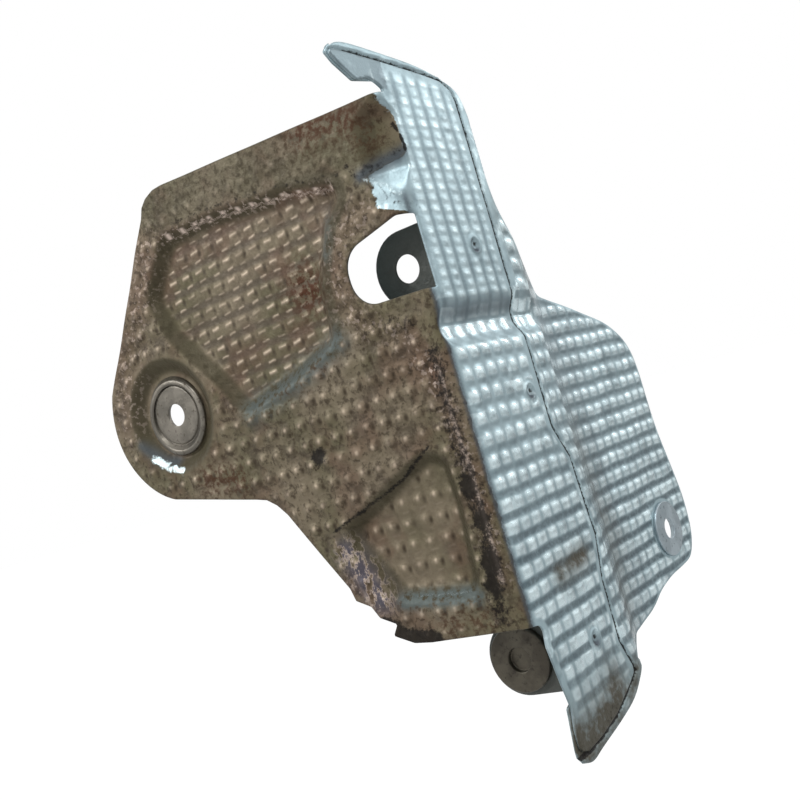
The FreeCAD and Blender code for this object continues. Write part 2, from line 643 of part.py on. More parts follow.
def main():
    os.makedirs("parts", exist_ok=True)
    foot, axis = panel_axis()
    nodes = {
        "front_shield": front_sheet(),
        "rear_shield": rear_sheet(),
        "seat_eyelet": seated(cupped_eyelet(), V(0, BOWL_DEPTH, 0), V(0, -1, 0)),
        "panel_eyelet": seated(eyelet(), foot, axis),
        "lug_eyelet": seated(blind_eyelet(), V(FOLD_X - LUG_IN, LUG_Y, LOWER_LUG_Z), V(0, -1, 0)),
    }
    for name, shape in nodes.items():
        shape.translate(V(0, CUP_FLOOR - BOWL_DEPTH, 0))
        shape.exportStep(os.path.join("parts", name + ".step"))
        print(name, len(shape.Solids), shape.isValid(), round(shape.Volume))


main()
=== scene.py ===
import logging
import math
from dataclasses import dataclass, field
from enum import Enum

import bpy
import numpy as np
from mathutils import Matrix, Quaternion, Vector
from mathutils.geometry import delaunay_2d_cdt


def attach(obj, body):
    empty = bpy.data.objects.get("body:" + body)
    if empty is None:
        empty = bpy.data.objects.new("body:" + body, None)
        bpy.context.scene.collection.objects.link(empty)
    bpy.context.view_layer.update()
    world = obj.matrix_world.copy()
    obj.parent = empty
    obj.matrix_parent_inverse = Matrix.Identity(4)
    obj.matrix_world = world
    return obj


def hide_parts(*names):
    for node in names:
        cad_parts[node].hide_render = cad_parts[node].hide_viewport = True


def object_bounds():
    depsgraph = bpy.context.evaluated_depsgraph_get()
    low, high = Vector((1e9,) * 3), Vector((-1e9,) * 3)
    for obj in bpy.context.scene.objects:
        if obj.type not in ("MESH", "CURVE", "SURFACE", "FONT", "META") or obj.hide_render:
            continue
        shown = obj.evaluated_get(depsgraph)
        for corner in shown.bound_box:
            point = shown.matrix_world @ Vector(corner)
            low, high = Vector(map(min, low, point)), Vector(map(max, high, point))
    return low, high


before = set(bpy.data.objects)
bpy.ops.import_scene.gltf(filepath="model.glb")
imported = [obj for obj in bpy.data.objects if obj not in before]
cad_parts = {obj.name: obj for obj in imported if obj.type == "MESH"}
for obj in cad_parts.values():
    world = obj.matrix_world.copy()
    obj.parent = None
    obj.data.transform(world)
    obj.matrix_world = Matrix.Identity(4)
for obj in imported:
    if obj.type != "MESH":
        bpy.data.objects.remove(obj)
CAD_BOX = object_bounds()
log = logging.getLogger("heat_shield")

MM = 0.001
GROOVE_REST, GROOVE_SOFT = 0.25, 0.8
FORM_MARKS = ("soot", "wall", "dash", "mottle", "twin", "band", "lug")
Point = tuple[float, float]
Triple = tuple[float, float, float]
Colour = tuple[float, float, float, float]
Array = np.ndarray
Socket = bpy.types.NodeSocket
Value = Socket | float | tuple


class Slot(Enum):
    """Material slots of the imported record."""

    FRONT = "front_sheet"
    REAR = "rear_sheet"
    EYELET = "eyelet"


class Mark(Enum):
    """What a mark on a sheet leaves behind, each with an attribute of its own; some marks paint
    shade or highlights.
    """

    # Grime, and painted shade in the seam, along pocket brims, in the gusset's slit and in clinch
    # pits.
    GRIME_AND_SHADE = "grime_and_shade"
    RUST = "rust"
    # Bare metal, and painted highlights on the bowl's brim and the gusset's crease.
    BARE_AND_GLINT = "bare_and_glint"
    STEEL = "steel"
    # Rosy tint, and painted pink highlights in beads and flecks.
    ROSY_AND_GLINT = "rosy_and_glint"
    WORN = "worn"
    # Painted shade on the fold, the ear, the groove's slopes, the gusset, the clinches and the rear
    # wall.
    PAINTED_SHADE = "painted_shade"
    HAZE = "haze"


# Plain shape functions

def ease(low: float, high: float, x: Array) -> Array:
    """A soft step from 0 at low to 1 at high.

    Args:
        low: value at which the step starts.
        high: value at which the step ends.
        x: values to step.

    Returns:
        The stepped values.
    """
    t = np.clip((x - low) / (high - low), 0.0, 1.0)
    return t * t * (3.0 - 2.0 * t)


def soft_min(a: Array, b: Array, width: float) -> Array:
    """The smaller of two values, rounded over a width where they cross.

    Args:
        a: first values.
        b: second values.
        width: width of the rounding.

    Returns:
        The rounded minimum.
    """
    h = np.clip(0.5 + 0.5 * (b - a) / width, 0.0, 1.0)
    return b * (1.0 - h) + a * h - width * h * (1.0 - h)


def path_distance(points: Array, path: Array) -> Array:
    """Distance of each point from an open path of straight runs.

    Args:
        points: points, as rows of two.
        path: corners of the path, as rows of two.

    Returns:
        One distance a point.
    """
    best = np.full(len(points), 1e9)
    for a, b in zip(path[:-1], path[1:]):
        run = b - a
        t = np.clip(((points - a) @ run) / max(float(run @ run), 1e-12), 0.0, 1.0)
        gap = points - a - t[:, None] * run
        best = np.minimum(best, np.einsum("ij,ij->i", gap, gap))
    return np.sqrt(best)


def is_inside(points: Array, loop: Array) -> Array:
    """Whether each point lies inside a closed loop.

    Args:
        points: points, as rows of two.
        loop: corners of the loop, as rows of two.

    Returns:
        One truth value a point.
    """
    found = np.zeros(len(points), bool)
    x, y = points[:, 0], points[:, 1]
    for a, b in zip(loop, np.roll(loop, -1, axis=0)):
        if a[1] == b[1]:
            continue
        crosses = (a[1] > y) != (b[1] > y)
        found ^= crosses & (x < a[0] + (y - a[1]) * (b[0] - a[0]) / (b[1] - a[1]))
    return found


def depth_inside(points: Array, loop: Array) -> Array:
    """Distance from a closed loop, positive inside it and negative outside.

    Args:
        points: points, as rows of two.
        loop: corners of the loop, as rows of two.

    Returns:
        One signed distance a point.
    """
    away = path_distance(points, np.vstack([loop, loop[:1]]))
    return np.where(is_inside(points, loop), away, -away)


def round_loop(corners: list[Point], radius: float | list[float]) -> Array:
    """A closed outline with each corner rounded by an arc as large as its sides allow.

    Args:
        corners: corners in order.
        radius: wanted radius of the arcs, one for all or one for each.

    Returns:
        The corners of the rounded outline.
    """
    pts = np.array(corners, float)
    radii = np.broadcast_to(np.array(radius, float), len(pts))
    apart = np.linalg.norm(pts - np.roll(pts, 1, axis=0), axis=1) > 1e-6
    pts, radii = pts[apart], radii[apart]
    out: list[Array] = []
    for p, q, r, wanted in zip(np.roll(pts, 1, axis=0), pts, np.roll(pts, -1, axis=0), radii):
        la, lb = np.linalg.norm(p - q), np.linalg.norm(r - q)
        a, b = (p - q) / la, (r - q) / lb
        half = 0.5 * math.acos(float(np.clip(a @ b, -1.0, 1.0)))
        cut = min(wanted / max(math.tan(half), 1e-6), 0.48 * la, 0.48 * lb)
        ends = np.array([q + a * cut, q, q + b * cut])
        for t in np.linspace(0.0, 1.0, 9):
            shares = np.array([(1 - t) ** 2, 2 * t * (1 - t) * math.sin(half), t * t])
            out.append(shares @ ends / shares.sum())
    return np.array(out)


def arc_points(centre: Point, radius: float, start: float, stop: float, count: int) -> list[Point]:
    """Points along a round arc.

    Args:
        centre: centre of the arc.
        radius: radius of the arc.
        start: first angle in degrees.
        stop: last angle in degrees.
        count: number of points.

    Returns:
        The points in order.
    """
    turns = np.radians(np.linspace(start, stop, count))
    return [(centre[0] + radius * math.cos(t), centre[1] + radius * math.sin(t)) for t in turns]


def round_hole(centre: Point, radius: float) -> Array:
    """A round loop about a centre."""
    return np.array(arc_points(centre, radius, 0, 352.5, 48))


def even_loop(loop: Array, step: float) -> Array:
    """A closed loop divided into even steps, with its corners cut by less than a step.

    Args:
        loop: corners of the loop.
        step: wanted length of a step.

    Returns:
        The divided loop.
    """
    ring = np.vstack([loop, loop[:1]])
    runs = np.linalg.norm(np.diff(ring, axis=0), axis=1)
    along = np.concatenate([[0.0], np.cumsum(runs)])
    count = max(8, int(round(along[-1] / step)))
    stops = np.linspace(0.0, along[-1], count, endpoint=False)
    return np.column_stack([np.interp(stops, along, ring[:, i]) for i in (0, 1)])


def inset(loop: Array, amount: float) -> Array:
    """A divided loop moved square to itself, to the left of its direction.

    Args:
        loop: points of the loop.
        amount: distance to move.

    Returns:
        The moved loop.
    """
    along = np.roll(loop, -1, axis=0) - np.roll(loop, 1, axis=0)
    along /= np.linalg.norm(along, axis=1)[:, None]
    return loop + amount * np.column_stack([-along[:, 1], along[:, 0]])


def turn_sign(loop: Array) -> float:
    """One for a loop that runs anticlockwise, minus one otherwise."""
    nxt = np.roll(loop, -1, axis=0)
    return 1.0 if float(np.sum(loop[:, 0] * nxt[:, 1] - nxt[:, 0] * loop[:, 1])) > 0 else -1.0


def new_object(name: str, data: bpy.types.ID) -> bpy.types.Object:
    """An object with its data, linked to the scene."""
    obj = bpy.data.objects.new(name, data)
    bpy.context.scene.collection.objects.link(obj)
    return obj


# Sheets

@dataclass(frozen=True)
class Lattice:
    """One field of the embossing: its pitches, one dimple's place in mm and its share of height."""

    along: float
    across: float
    start: Point
    press: float

    def cells(self, u: Array, v: Array) -> tuple[Array, Array]:
        """Counts of dimples along and across the rows at each point."""
        return (u - self.start[0]) / self.along, (v - self.start[1]) / self.across


@dataclass(frozen=True)
class Waves:
    """Slight waves that a pressed sheet keeps: a quilt of long ones and slanted small ones."""

    long: float
    long_rates: Point
    long_starts: Point
    small: float
    small_rates: Point

    def at(self, u: Array, v: Array) -> Array:
        """Height of the waves at each flat point."""
        (along, across), (first, second) = self.long_rates, self.long_starts
        quilt = np.sin(u * along + first) * np.sin(v * across + second)
        small = np.sin(u * self.small_rates[0] + v * self.small_rates[1])
        return self.long * quilt + self.small * small


@dataclass(frozen=True)
class Spot:
    """One mark on a sheet: an oval patch, or a band along a path."""

    mark: Mark
    path: tuple[Point, ...]
    reach: float
    strength: float

    def weight(self, points: Array) -> Array:
        """How strong the mark is at each point."""
        path = np.array(self.path, float)
        if len(path) == 1:
            away = np.linalg.norm(points - path[0], axis=1)
        else:
            away = path_distance(points, path)
        return self.strength * np.exp(-(away / self.reach) ** 2)


@dataclass(frozen=True)
class Clinch:
    """A pressed clinch that locks the two sheets together."""

    place: Point
    radius: float = 1.9
    ring: float = 3.0
    depth: float = 0.55
    slope: float = 0.9
    rise: float = 0.35
    collar: float = 0.45

    def lift(self, points: Array) -> Array:
        """Height of the clinch over the strip at each point."""
        r = np.linalg.norm(points - np.array(self.place), axis=1)
        dent = -self.depth * (1.0 - ease(self.radius - self.slope, self.radius, r))
        return dent + self.rise * np.exp(-((r - self.radius - self.collar) / self.collar) ** 2)


@dataclass
class Sheet:
    """A pressed sheet, drawn flat and laid on its formed surface."""

    name: str
    slot: Slot
    thickness: float = 1.0
    step: float = 0.68
    back_step: float = 1.15
    rim: float = 0.26
    rim_rings: Point = (0.28, 0.72)
    probe: float = 0.12
    wander: float = 0.018
    drop: float = -2.2
    spots: tuple[Spot, ...] = ()
    gaps: Array | None = None

    def loops(self) -> list[Array]:
        """The outline and the holes of the flat sheet."""
        raise NotImplementedError

    def place(self, u: Array, v: Array, zone: Array) -> Array:
        """Outer surface of the formed sheet at flat coordinates."""
        raise NotImplementedError

    def zones(self, u: Array, v: Array) -> Array:
        """Which fold each flat point belongs to."""
        raise NotImplementedError

    def lattice(self, u: Array, v: Array, points: Array) -> tuple[Array, Array, Array]:
        """Cells along, cells across and strength of the embossing."""
        raise NotImplementedError

    def finer(self) -> list[Point]:
        """Extra flat points where the form is small."""
        return []

    def finish_marks(self, u: Array, v: Array, points: Array) -> dict[str, Array]:
        """Attributes that the finish reads, by name."""
        raise NotImplementedError

    def edge_gap(self, points: Array) -> Array:
        """Distance of each flat point from the nearest edge of the sheet."""
        if self.gaps is None or len(self.gaps) != len(points):
            self.gaps = np.full(len(points), 1e9)
            for loop in self.loops():
                away = path_distance(points, np.vstack([loop, loop[:1]]))
                self.gaps = np.minimum(self.gaps, away)
        return self.gaps

    def surface(self, u: Array, v: Array) -> tuple[Array, Array]:
        """Outer surface and its outward direction at flat coordinates.

        Args:
            u: flat coordinate along the rows in mm.
            v: flat coordinate across the rows in mm.

        Returns:
            Points in mm and unit directions.
        """
        zone, e = self.zones(u, v), self.probe
        point = self.place(u, v, zone)
        along = self.place(u + e, v, zone) - self.place(u - e, v, zone)
        across = self.place(u, v + e, zone) - self.place(u, v - e, zone)
        out = np.cross(along, across)
        out /= np.linalg.norm(out, axis=1)[:, None]
        return point, out

    def flat_mesh(self, step: float) -> tuple[Array, Array, list[Array], list[Array]]:
        """Triangles of the flat sheet inside its outline.

        Args:
            step: distance between points inside the outline.

        Returns:
            Flat points, triangles, the outlines and the points of the inset loops by number.
        """
        outlines = [even_loop(loop, self.step) for loop in self.loops()]
        for i, loop in enumerate(outlines):
            if (turn_sign(loop) > 0) != (i == 0):
                outlines[i] = loop[::-1].copy()
        inner = [inset(loop, self.rim) for loop in outlines]
        low, high = inner[0].min(axis=0), inner[0].max(axis=0)
        rise = step * math.sqrt(0.75)
        rows = []
        for i, y in enumerate(np.arange(low[1], high[1], rise)):
            x = np.arange(low[0] + (i % 2) * step / 2, high[0], step)
            rows.append(np.column_stack([x, np.full(len(x), y)]))
        grid = np.vstack(rows)
        extra = np.array(self.finer(), float).reshape(-1, 2)
        if len(extra):
            near = np.min(np.linalg.norm(grid[:, None, :] - extra[None, ::7, :], axis=2), axis=1)
            grid = np.vstack([grid[near > 0.9 * step], extra])
        keep = np.ones(len(grid), bool)
        for i, loop in enumerate(inner):
            deep = depth_inside(grid, loop)
            keep &= (deep if i == 0 else -deep) > 0.45 * step
        points, numbers, lines = [grid[keep]], [], []
        count = len(points[0])
        for loop in inner:
            ids = np.arange(count, count + len(loop))
            numbers.append(ids)
            lines += [(int(a), int(b)) for a, b in zip(ids, np.roll(ids, -1))]
            points.append(loop)
            count += len(loop)
        flat = np.vstack(points)
        made = delaunay_2d_cdt([Vector(p) for p in flat], lines, [], 0, 1e-6)
        flat = np.array([tuple(p) for p in made[0]], float)
        tris = np.array([tuple(f) for f in made[2]], int)
        middle = flat[tris].mean(axis=1)
        inside = is_inside(middle, inner[0])
        for loop in inner[1:]:
            inside &= ~is_inside(middle, loop)
        origin = {old: new for new, olds in enumerate(made[3]) for old in olds}
        numbers = [np.array([origin[int(i)] for i in ids]) for ids in numbers]
        return flat, tris[inside], outlines, numbers

    def build(self) -> bpy.types.Object:
        """The formed sheet with both its faces and a rounded rim, before it is embossed.

        Returns:
            The object, with what the embossing and the finish read.
        """
        flat, tris, outlines, numbers = self.flat_mesh(self.step)
        under, back_tris, _, back_numbers = self.flat_mesh(self.back_step)
        front, out = self.surface(flat[:, 0], flat[:, 1])
        back, back_out = self.surface(under[:, 0], under[:, 1])
        total = len(flat)
        points = [front, back - self.thickness * back_out]
        places, outs = [flat, under], [out, back_out]
        sides = [np.zeros(total), np.ones(len(under))]
        faces = tris.tolist() + (back_tris[:, [0, 2, 1]] + total).tolist()
        count = total + len(under)
        for loop, ids, back_ids in zip(outlines, numbers, back_numbers):
            edge, edge_out = self.surface(loop[:, 0], loop[:, 1])
            rings = [ids]
            for share in self.rim_rings:
                points.append(edge - share * self.thickness * edge_out)
                places.append(loop)
                outs.append(edge_out)
                sides.append(np.full(len(loop), share))
                rings.append(np.arange(count, count + len(loop)))
                count += len(loop)
            rings.append(back_ids + total)
            for one, two in zip(rings, rings[1:]):
                quads = (one, two, np.roll(two, -1), np.roll(one, -1))
                faces += np.column_stack(quads).tolist()
        mesh = bpy.data.meshes.new(self.name)
        lift = np.array([0.0, self.drop, 0.0])
        mesh.from_pydata(((np.vstack(points) + lift) * MM).tolist(), [], faces)
        self.write_marks(mesh, np.vstack(places), np.vstack(outs), np.concatenate(sides))
        return new_object(self.name, mesh)

    def drift(self, u: Array, v: Array) -> tuple[Array, Array]:
        """Shares of a cell by which the rows wander, along and across."""
        along = np.sin(0.31 * u + 0.17 * v) + 0.6 * np.sin(0.53 * v - 0.24 * u)
        across = np.sin(0.27 * u - 0.11 * v + 1.0) + 0.6 * np.sin(0.44 * u + 0.38 * v)
        return self.wander * along, self.wander * across

    def write_marks(self, mesh: bpy.types.Mesh, place: Array, out: Array, side: Array) -> None:
        """Stores what the embossing and the finish read, point by point.

        Args:
            mesh: mesh that takes the attributes.
            place: flat coordinates of its points.
            out: outward directions of its points.
            side: share of the thickness from the outer face.
        """
        place, back = np.unique(place, axis=0, return_inverse=True)
        back = back.ravel()
        u, v = place[:, 0], place[:, 1]
        along, across, strength = self.lattice(u, v, place)
        drift, sway = self.drift(u, v)
        cell = np.column_stack([along + drift, across + sway, np.zeros(len(u))])
        for key, value in {"cell": cell[back], "out": out}.items():
            made = mesh.attributes.new(key, "FLOAT_VECTOR", "POINT")
            made.data.foreach_set("vector", value.astype(np.float32).ravel())
        names = (*FORM_MARKS, *(mark.value for mark in Mark))
        floats = {name: np.zeros(len(u)) for name in names}
        floats.update(self.finish_marks(u, v, place))
        for spot in self.spots:
            floats[spot.mark.value] = floats[spot.mark.value] + spot.weight(place)
        floats = {key: value[back] for key, value in {**floats, "emboss": strength}.items()}
        for mark in Mark:
            floats[mark.value] = floats[mark.value] * (1 - side)
        floats["behind"] = side
        for key, value in floats.items():
            made = mesh.attributes.new(key, "FLOAT", "POINT")
            made.data.foreach_set("value", np.clip(value, 0.0, 1.5).astype(np.float32))


@dataclass
class FrontSheet(Sheet):
    """Face panel, fold and strip in one sheet, with its pockets, bowl, groove and window."""

    fold_x: float = 108.0
    fold_r: float = 4.0
    fold_clear: float = 3.0
    face_top: float = 62.0
    face_foot: float = -84.0
    lobe_r: float = 26.8
    lobe_turn: Point = (250, 152)
    pocket_depth: float = 3.4
    pocket_run: float = 4.2
    pocket_ease: Point = (-0.7, 0.9)
    pocket_r: float = 6.5
    bowl_r: float = 17.5
    bowl_floor_r: float = 13.6
    bowl_ease: Point = (-0.5, 0.7)
    bowl_clear: Point = (14, 20)
    bowl_depth: float = 3.0
    hole_r: float = 4.4
    groove_depth: float = 3.0
    groove_top: float = 5.5
    groove_foot: float = -9.5
    groove_flat: float = 3.0
    groove_ease: Point = (-0.8, 0.6)
    gusset_run: Point = (6.0, -11.0)
    gusset_ends: Point = (42.0, 57.0)
    gusset_fade: Point = (0.62, 1.1)
    ear_gap: float = 0.6
    ear_slope: float = 0.057
    ear_run: float = 16.0
    flap_gap: float = 0.4
    flap_plain: Point = (-104, -114)
    strip_joint: float = -2.0
    plain_edge: Point = (0.8, 4.2)
    strip_corner_r: float = 2.4
    torn_corner_r: float = 0.45
    face_corner_r: float = 0.5
    waves: Waves = Waves(0.16, (0.11, 0.083), (1.3, 0.4), 0.09, (0.23, 0.19))
    clinches: tuple[Clinch, ...] = ()
    clinch_rings: tuple[float, ...] = (0.5, 0.95, 1.3, 1.65, 2.0, 2.35, 2.7, 3.1, 3.6)
    upper: tuple[Point, ...] = (
        (-91.5, 52.5), (-71.5, 53), (-40.5, 49.5), (-17.5, 44.5), (-28.5, 34), (-36, 20),
        (-36.5, 4), (-53.5, -2.5), (-78.5, -8), (-86, 4), (-101, 23), (-105, 36))
    lower: tuple[Point, ...] = (
        (-56.5, -47.5), (-19.5, -31), (-12, -35), (-11, -50), (-13.5, -74.5), (-41.5, -71.5))
    window: tuple[Point, ...] = ((-6, 30), (-26.3, 25.6), (-26.3, 10.1))
    window_r: float = 8.0
    window_ends: tuple[float, float, float, float] = (28.9, 29.6, 9.1, 8.7)
    window_turn: float = 4.42
    window_corner_r: float = 0.3
    ear: tuple[Point, ...] = (
        (1.5, 64.2), (-1.5, 65.2), (-7, 64), (-12.6, 68), (-15.2, 70.6), (-13.8, 71.9),
        (-9.5, 71.6), (4.3, 70.7), (23.5, 69.1))
    flap: tuple[Point, ...] = ((4.5, -119.5), (5, -113.2), (6.4, -108), (5, -101), (3.2, -90))
    strip_top: float = 5.0
    strip_foot: float = 4.6
    torn: tuple[Point, ...] = (
        (-57.8, -64.2), (-56.9, -68), (-52.1, -70.5), (-50.1, -74.1), (-44.7, -76.7),
        (-47, -79.8), (-40.4, -82.8), (-34.5, -83.4))
    elbow: tuple[Point, ...] = ((-73, -39), (-76, -35.6), (-79.5, -33.2), (-83.5, -32.2))
    crown: tuple[Point, ...] = (
        (-96.5, 60), (-95, 63), (-92.5, 65), (-88.5, 66.4), (-84.5, 66.6))
    fields: dict[str, Lattice] = field(default_factory=lambda: {
        "upper": Lattice(5.87, 6.0, (25.27, 37.77), 0.34),
        "middle": Lattice(5.87, 6.0, (78.82, 2.26), 0.8),
        "lower": Lattice(5.87, 6.0, (62.83, -50.56), 0.6),
        "strip_top": Lattice(5.87, 6.0, (12.03, 55.0), 0.42),
        "strip_foot": Lattice(5.87, 6.0, (15.96, -45.75), 0.78)})

    def __post_init__(self) -> None:
        """Works out the flat coordinates from the folded ones."""
        self.bend = self.fold_x - self.fold_r
        self.arc = self.fold_r * math.pi / 2
        self.shift = self.bend + self.arc - self.fold_r
        self.upper_loop = round_loop(self.face(self.upper), self.pocket_r)
        self.lower_loop = round_loop(self.face(self.lower), self.pocket_r)

    def face(self, points: tuple[Point, ...]) -> list[Point]:
        """Flat coordinates of points on the face, given from the fold."""
        return [(self.fold_x + x, z) for x, z in points]

    def strip(self, points: list[Point]) -> list[Point]:
        """Flat coordinates of points on the strip, given as depth and height."""
        return [(y + self.shift, z) for y, z in points]

    def loops(self) -> list[Array]:
        """The outline, the window and the hole for the seat eyelet."""
        top, foot = (self.strip_top, self.face_top), (self.strip_foot, self.face_foot)
        side = self.strip([top, *self.ear, *seam_path()[3:], *self.flap, foot])
        torn = self.face(self.torn[::-1])
        rest = self.face(self.elbow) + arc_points((0, 0), self.lobe_r, *self.lobe_turn, 24)
        rest += self.face(self.crown) + [(self.bend, self.face_top)]
        radii = [self.strip_corner_r] * len(side) + [self.torn_corner_r] * len(torn)
        outline = round_loop(side + torn + rest, radii + [self.face_corner_r] * len(rest))
        end = self.bend + self.window_turn
        over, brow, sill, low = self.window_ends
        hole = [(end, over), (self.bend, brow), *self.face(self.window)]
        hole += [(self.bend, sill), (end, low)]
        radii = [self.window_r] * len(hole)
        radii[0] = radii[-1] = self.window_corner_r
        return [outline, round_loop(hole, radii), round_hole((0, 0), self.hole_r)]

    def zones(self, u: Array, v: Array) -> Array:
        """One where the sheet goes round the fold, zero on the ear and the flap."""
        brow = self.face_top + self.ear_gap + self.ear_slope * np.maximum(self.bend - u, 0.0)
        ear = (u > self.bend - self.ear_run) & (v > brow)
        flap = (u > self.bend) & (v < self.face_foot - self.flap_gap)
        return 1.0 - (ear | flap).astype(float)

    def groove(self, z: Array) -> Array:
        """Depth of the stiffening groove across the strip at a height."""
        middle = (self.groove_top + self.groove_foot) / 2
        half = (self.groove_top - self.groove_foot) / 2
        start, stop = self.groove_flat / 2 + self.groove_ease[0], half + self.groove_ease[1]
        return self.groove_depth * (1 - ease(start, stop, np.abs(z - middle)))

    def pressing(self, x: Array, z: Array) -> Array:
        """Depth to which the face is pressed, with its pockets and bowl."""
        points = np.column_stack([x, z])
        start, stop = self.pocket_ease[0], self.pocket_run + self.pocket_ease[1]
        deep = np.zeros(len(x))
        for loop in (self.upper_loop, self.lower_loop):
            inner = depth_inside(points, loop)
            deep = np.maximum(deep, self.pocket_depth * ease(start, stop, inner))
        r = np.hypot(x, z)
        start, stop = self.bowl_floor_r + self.bowl_ease[0], self.bowl_r + self.bowl_ease[1]
        dish = self.bowl_depth * (1 - ease(start, stop, r))
        dish = np.maximum(deep * ease(*self.bowl_clear, r), dish)
        return np.where(r < self.bowl_floor_r, self.bowl_depth, dish)

    def gusset_cut(self, x: Array, y: Array, z: Array) -> tuple[Array, Array]:
        """Moves that press the gusset into the fold by the window.

        Args:
            x: across the face.
            y: depth.
            z: height.

        Returns:
            Moves along X and Y.
        """
        run = np.array(self.gusset_run)
        facing = run / np.linalg.norm(run)
        proud = facing[0] * (x - (self.fold_x + run[1])) + facing[1] * y
        foot, head = self.gusset_ends
        limit = self.gusset_fade[0] * np.maximum(foot - z, 0.0)
        limit = limit + self.gusset_fade[1] * np.maximum(z - head, 0.0)
        cut = soft_min(proud, limit + 0.1, 0.9) - proud
        return facing[0] * cut, facing[1] * cut

    def place(self, u: Array, v: Array, zone: Array) -> Array:
        """Outer surface of the folded sheet in mm.

        Args:
            u: flat coordinate, X on the face and then round the fold.
            v: height.
            zone: one where the sheet is folded, zero on the ear and the flap.

        Returns:
            Points as rows of three.
        """
        folded = zone > 0.5
        turn = np.clip((u - self.bend) / self.fold_r, 0.0, math.pi / 2) * zone
        round_x = np.minimum(u, self.bend) + self.fold_r * np.sin(turn)
        round_y = self.fold_r * (1 - np.cos(turn)) + np.maximum(u - self.bend - self.arc, 0.0)
        x = np.where(folded, round_x, self.fold_x)
        y = np.where(folded, round_y, u - self.shift)
        on_face = zone * (1 - ease(self.bend - self.fold_clear, self.bend, u))
        y = y + on_face * self.pressing(np.minimum(u, self.bend), v)
        x = soft_min(x, self.fold_x - self.groove(v) + GROOVE_REST, GROOVE_SOFT)
        move_x, move_y = self.gusset_cut(x, y, v)
        waves = self.waves.at(u, v)
        strip = (u > self.bend + self.arc).astype(float)
        away = ease(self.bowl_r + 0.5, self.bowl_r + 8.5, np.hypot(u, v))
        x = x + move_x * zone - 0.5 * strip * np.abs(waves)
        y = y + move_y * zone + on_face * away * (waves + 0.2)
        for clinch in self.clinches:
            x = x + strip * clinch.lift(np.column_stack([u - self.shift, v]))
        return np.column_stack([x, y, v])

    def finer(self) -> list[Point]:
        """Rings of points about each clinch."""
        out: list[Point] = []
        for centre in self.strip([clinch.place for clinch in self.clinches]):
            out.append(centre)
            for r in self.clinch_rings:
                out += arc_points(centre, r, 0, 348, max(8, int(r * 10)))
        return out

    def pocket_depths(self, points: Array) -> tuple[Array, Array]:
        """Distance inside the brim of the upper pocket and of the lower one."""
        return depth_inside(points, self.upper_loop), depth_inside(points, self.lower_loop)

    def border(self, u: Array, v: Array) -> Array:
        """One on the plain border of the face over the upper pocket."""
        over = ease(56.2, 59, v + 0.117 * u)
        return over * (u < self.bend) * (u > -2) * self.zones(u, v)

    def brow(self, u: Array) -> Array:
        """How far the smooth wall of the upper pocket runs past its brim by the window."""
        return 3.2 * ease(60, 70, u)

    def lattice(self, u: Array, v: Array, points: Array) -> tuple[Array, Array, Array]:
        """Cells along, cells across and strength of the embossing on each field.

        Args:
            u: flat coordinates along the rows.
            v: heights.
            points: both, as rows of two.

        Returns:
            Cells along, cells across and strength.
        """
        upper, lower = self.pocket_depths(points)
        on_strip = u > self.bend + self.arc * 0.4
        over = v > self.strip_joint
        floor = self.pocket_run / 2
        along, across = self.fields["middle"].cells(u, v)
        for chosen, key in ((upper > floor, "upper"), (lower > floor, "lower"),
                            (on_strip & over, "strip_top"), (on_strip & ~over, "strip_foot")):
            a, b = self.fields[key].cells(np.where(on_strip, u - self.shift, u), v)
            along, across = np.where(chosen, a, along), np.where(chosen, b, across)
        strength = ease(*self.plain_edge, self.edge_gap(points)) * self.bend_relief(u, v)
        face = self.face_relief(u, v, upper, lower)
        return along, across, strength * np.where(on_strip, self.strip_relief(u, v), face)

    def bend_relief(self, u: Array, v: Array) -> Array:
        """Share of the dimples that the fold, the gusset and the ear leave."""
        past = ease(self.bend + 0.3 * self.arc, self.bend + 0.65 * self.arc, u)
        fold = 1 - ease(self.bend - 5, self.bend - 1, u) * (1 - past)
        gusset = np.exp(-((u - self.bend + 1) / 7) ** 2) * ease(30, 38, v) * (1 - ease(60, 64, v))
        ear = np.where((v > 60) & (u < self.bend + self.arc), 0.25, 1.0)
        return fold * (1 - np.clip(1.6 * gusset, 0, 0.9)) * ear

    def face_relief(self, u: Array, v: Array, upper: Array, lower: Array) -> Array:
        """Height of the dimples on the face, lower on pocket walls and gone in the bowl.

        Args:
            u: flat coordinates along the rows.
            v: heights.
            upper: distance inside the upper pocket.
            lower: distance inside the lower pocket.

        Returns:
            One share a point.
        """
        pocket = np.where(upper > 0, self.fields["upper"].press, self.fields["middle"].press)
        height = np.where(lower > 0, self.fields["lower"].press, pocket)
        for deep in (upper + self.brow(u), lower):
            inner = ease(self.pocket_run - 1, self.pocket_run + 1.6, deep)
            wall = ease(-2.2, 0.4, deep) * (1 - inner)
            height = height * (1 - 0.7 * wall * (u < self.bend))
        height = height * ease(self.bowl_r, self.bowl_r + 5, np.hypot(u, v))
        return height * (1 - 0.7 * self.border(u, v))

    def strip_relief(self, u: Array, v: Array) -> Array:
        """Height of the dimples on the strip, lower in the groove, on the flap and by a clinch."""
        foot, top = self.fields["strip_foot"].press, self.fields["strip_top"].press
        slope = ease(0.2, 1.0, np.abs(self.groove(v + 0.6) - self.groove(v - 0.6)))
        joint = np.exp(-((v - 0.8) / 3.0) ** 2)
        height = (foot + (top - foot) * ease(0, 14, v)) * (1 - 0.35 * slope) * (1 - 0.72 * joint)
        height = height * (1 - 0.75 * ease(*self.flap_plain, v))
        for clinch in self.clinches:
            r = np.hypot(u - self.shift - clinch.place[0], v - clinch.place[1])
            height = height * ease(clinch.ring, clinch.ring + 2, r)
        return height

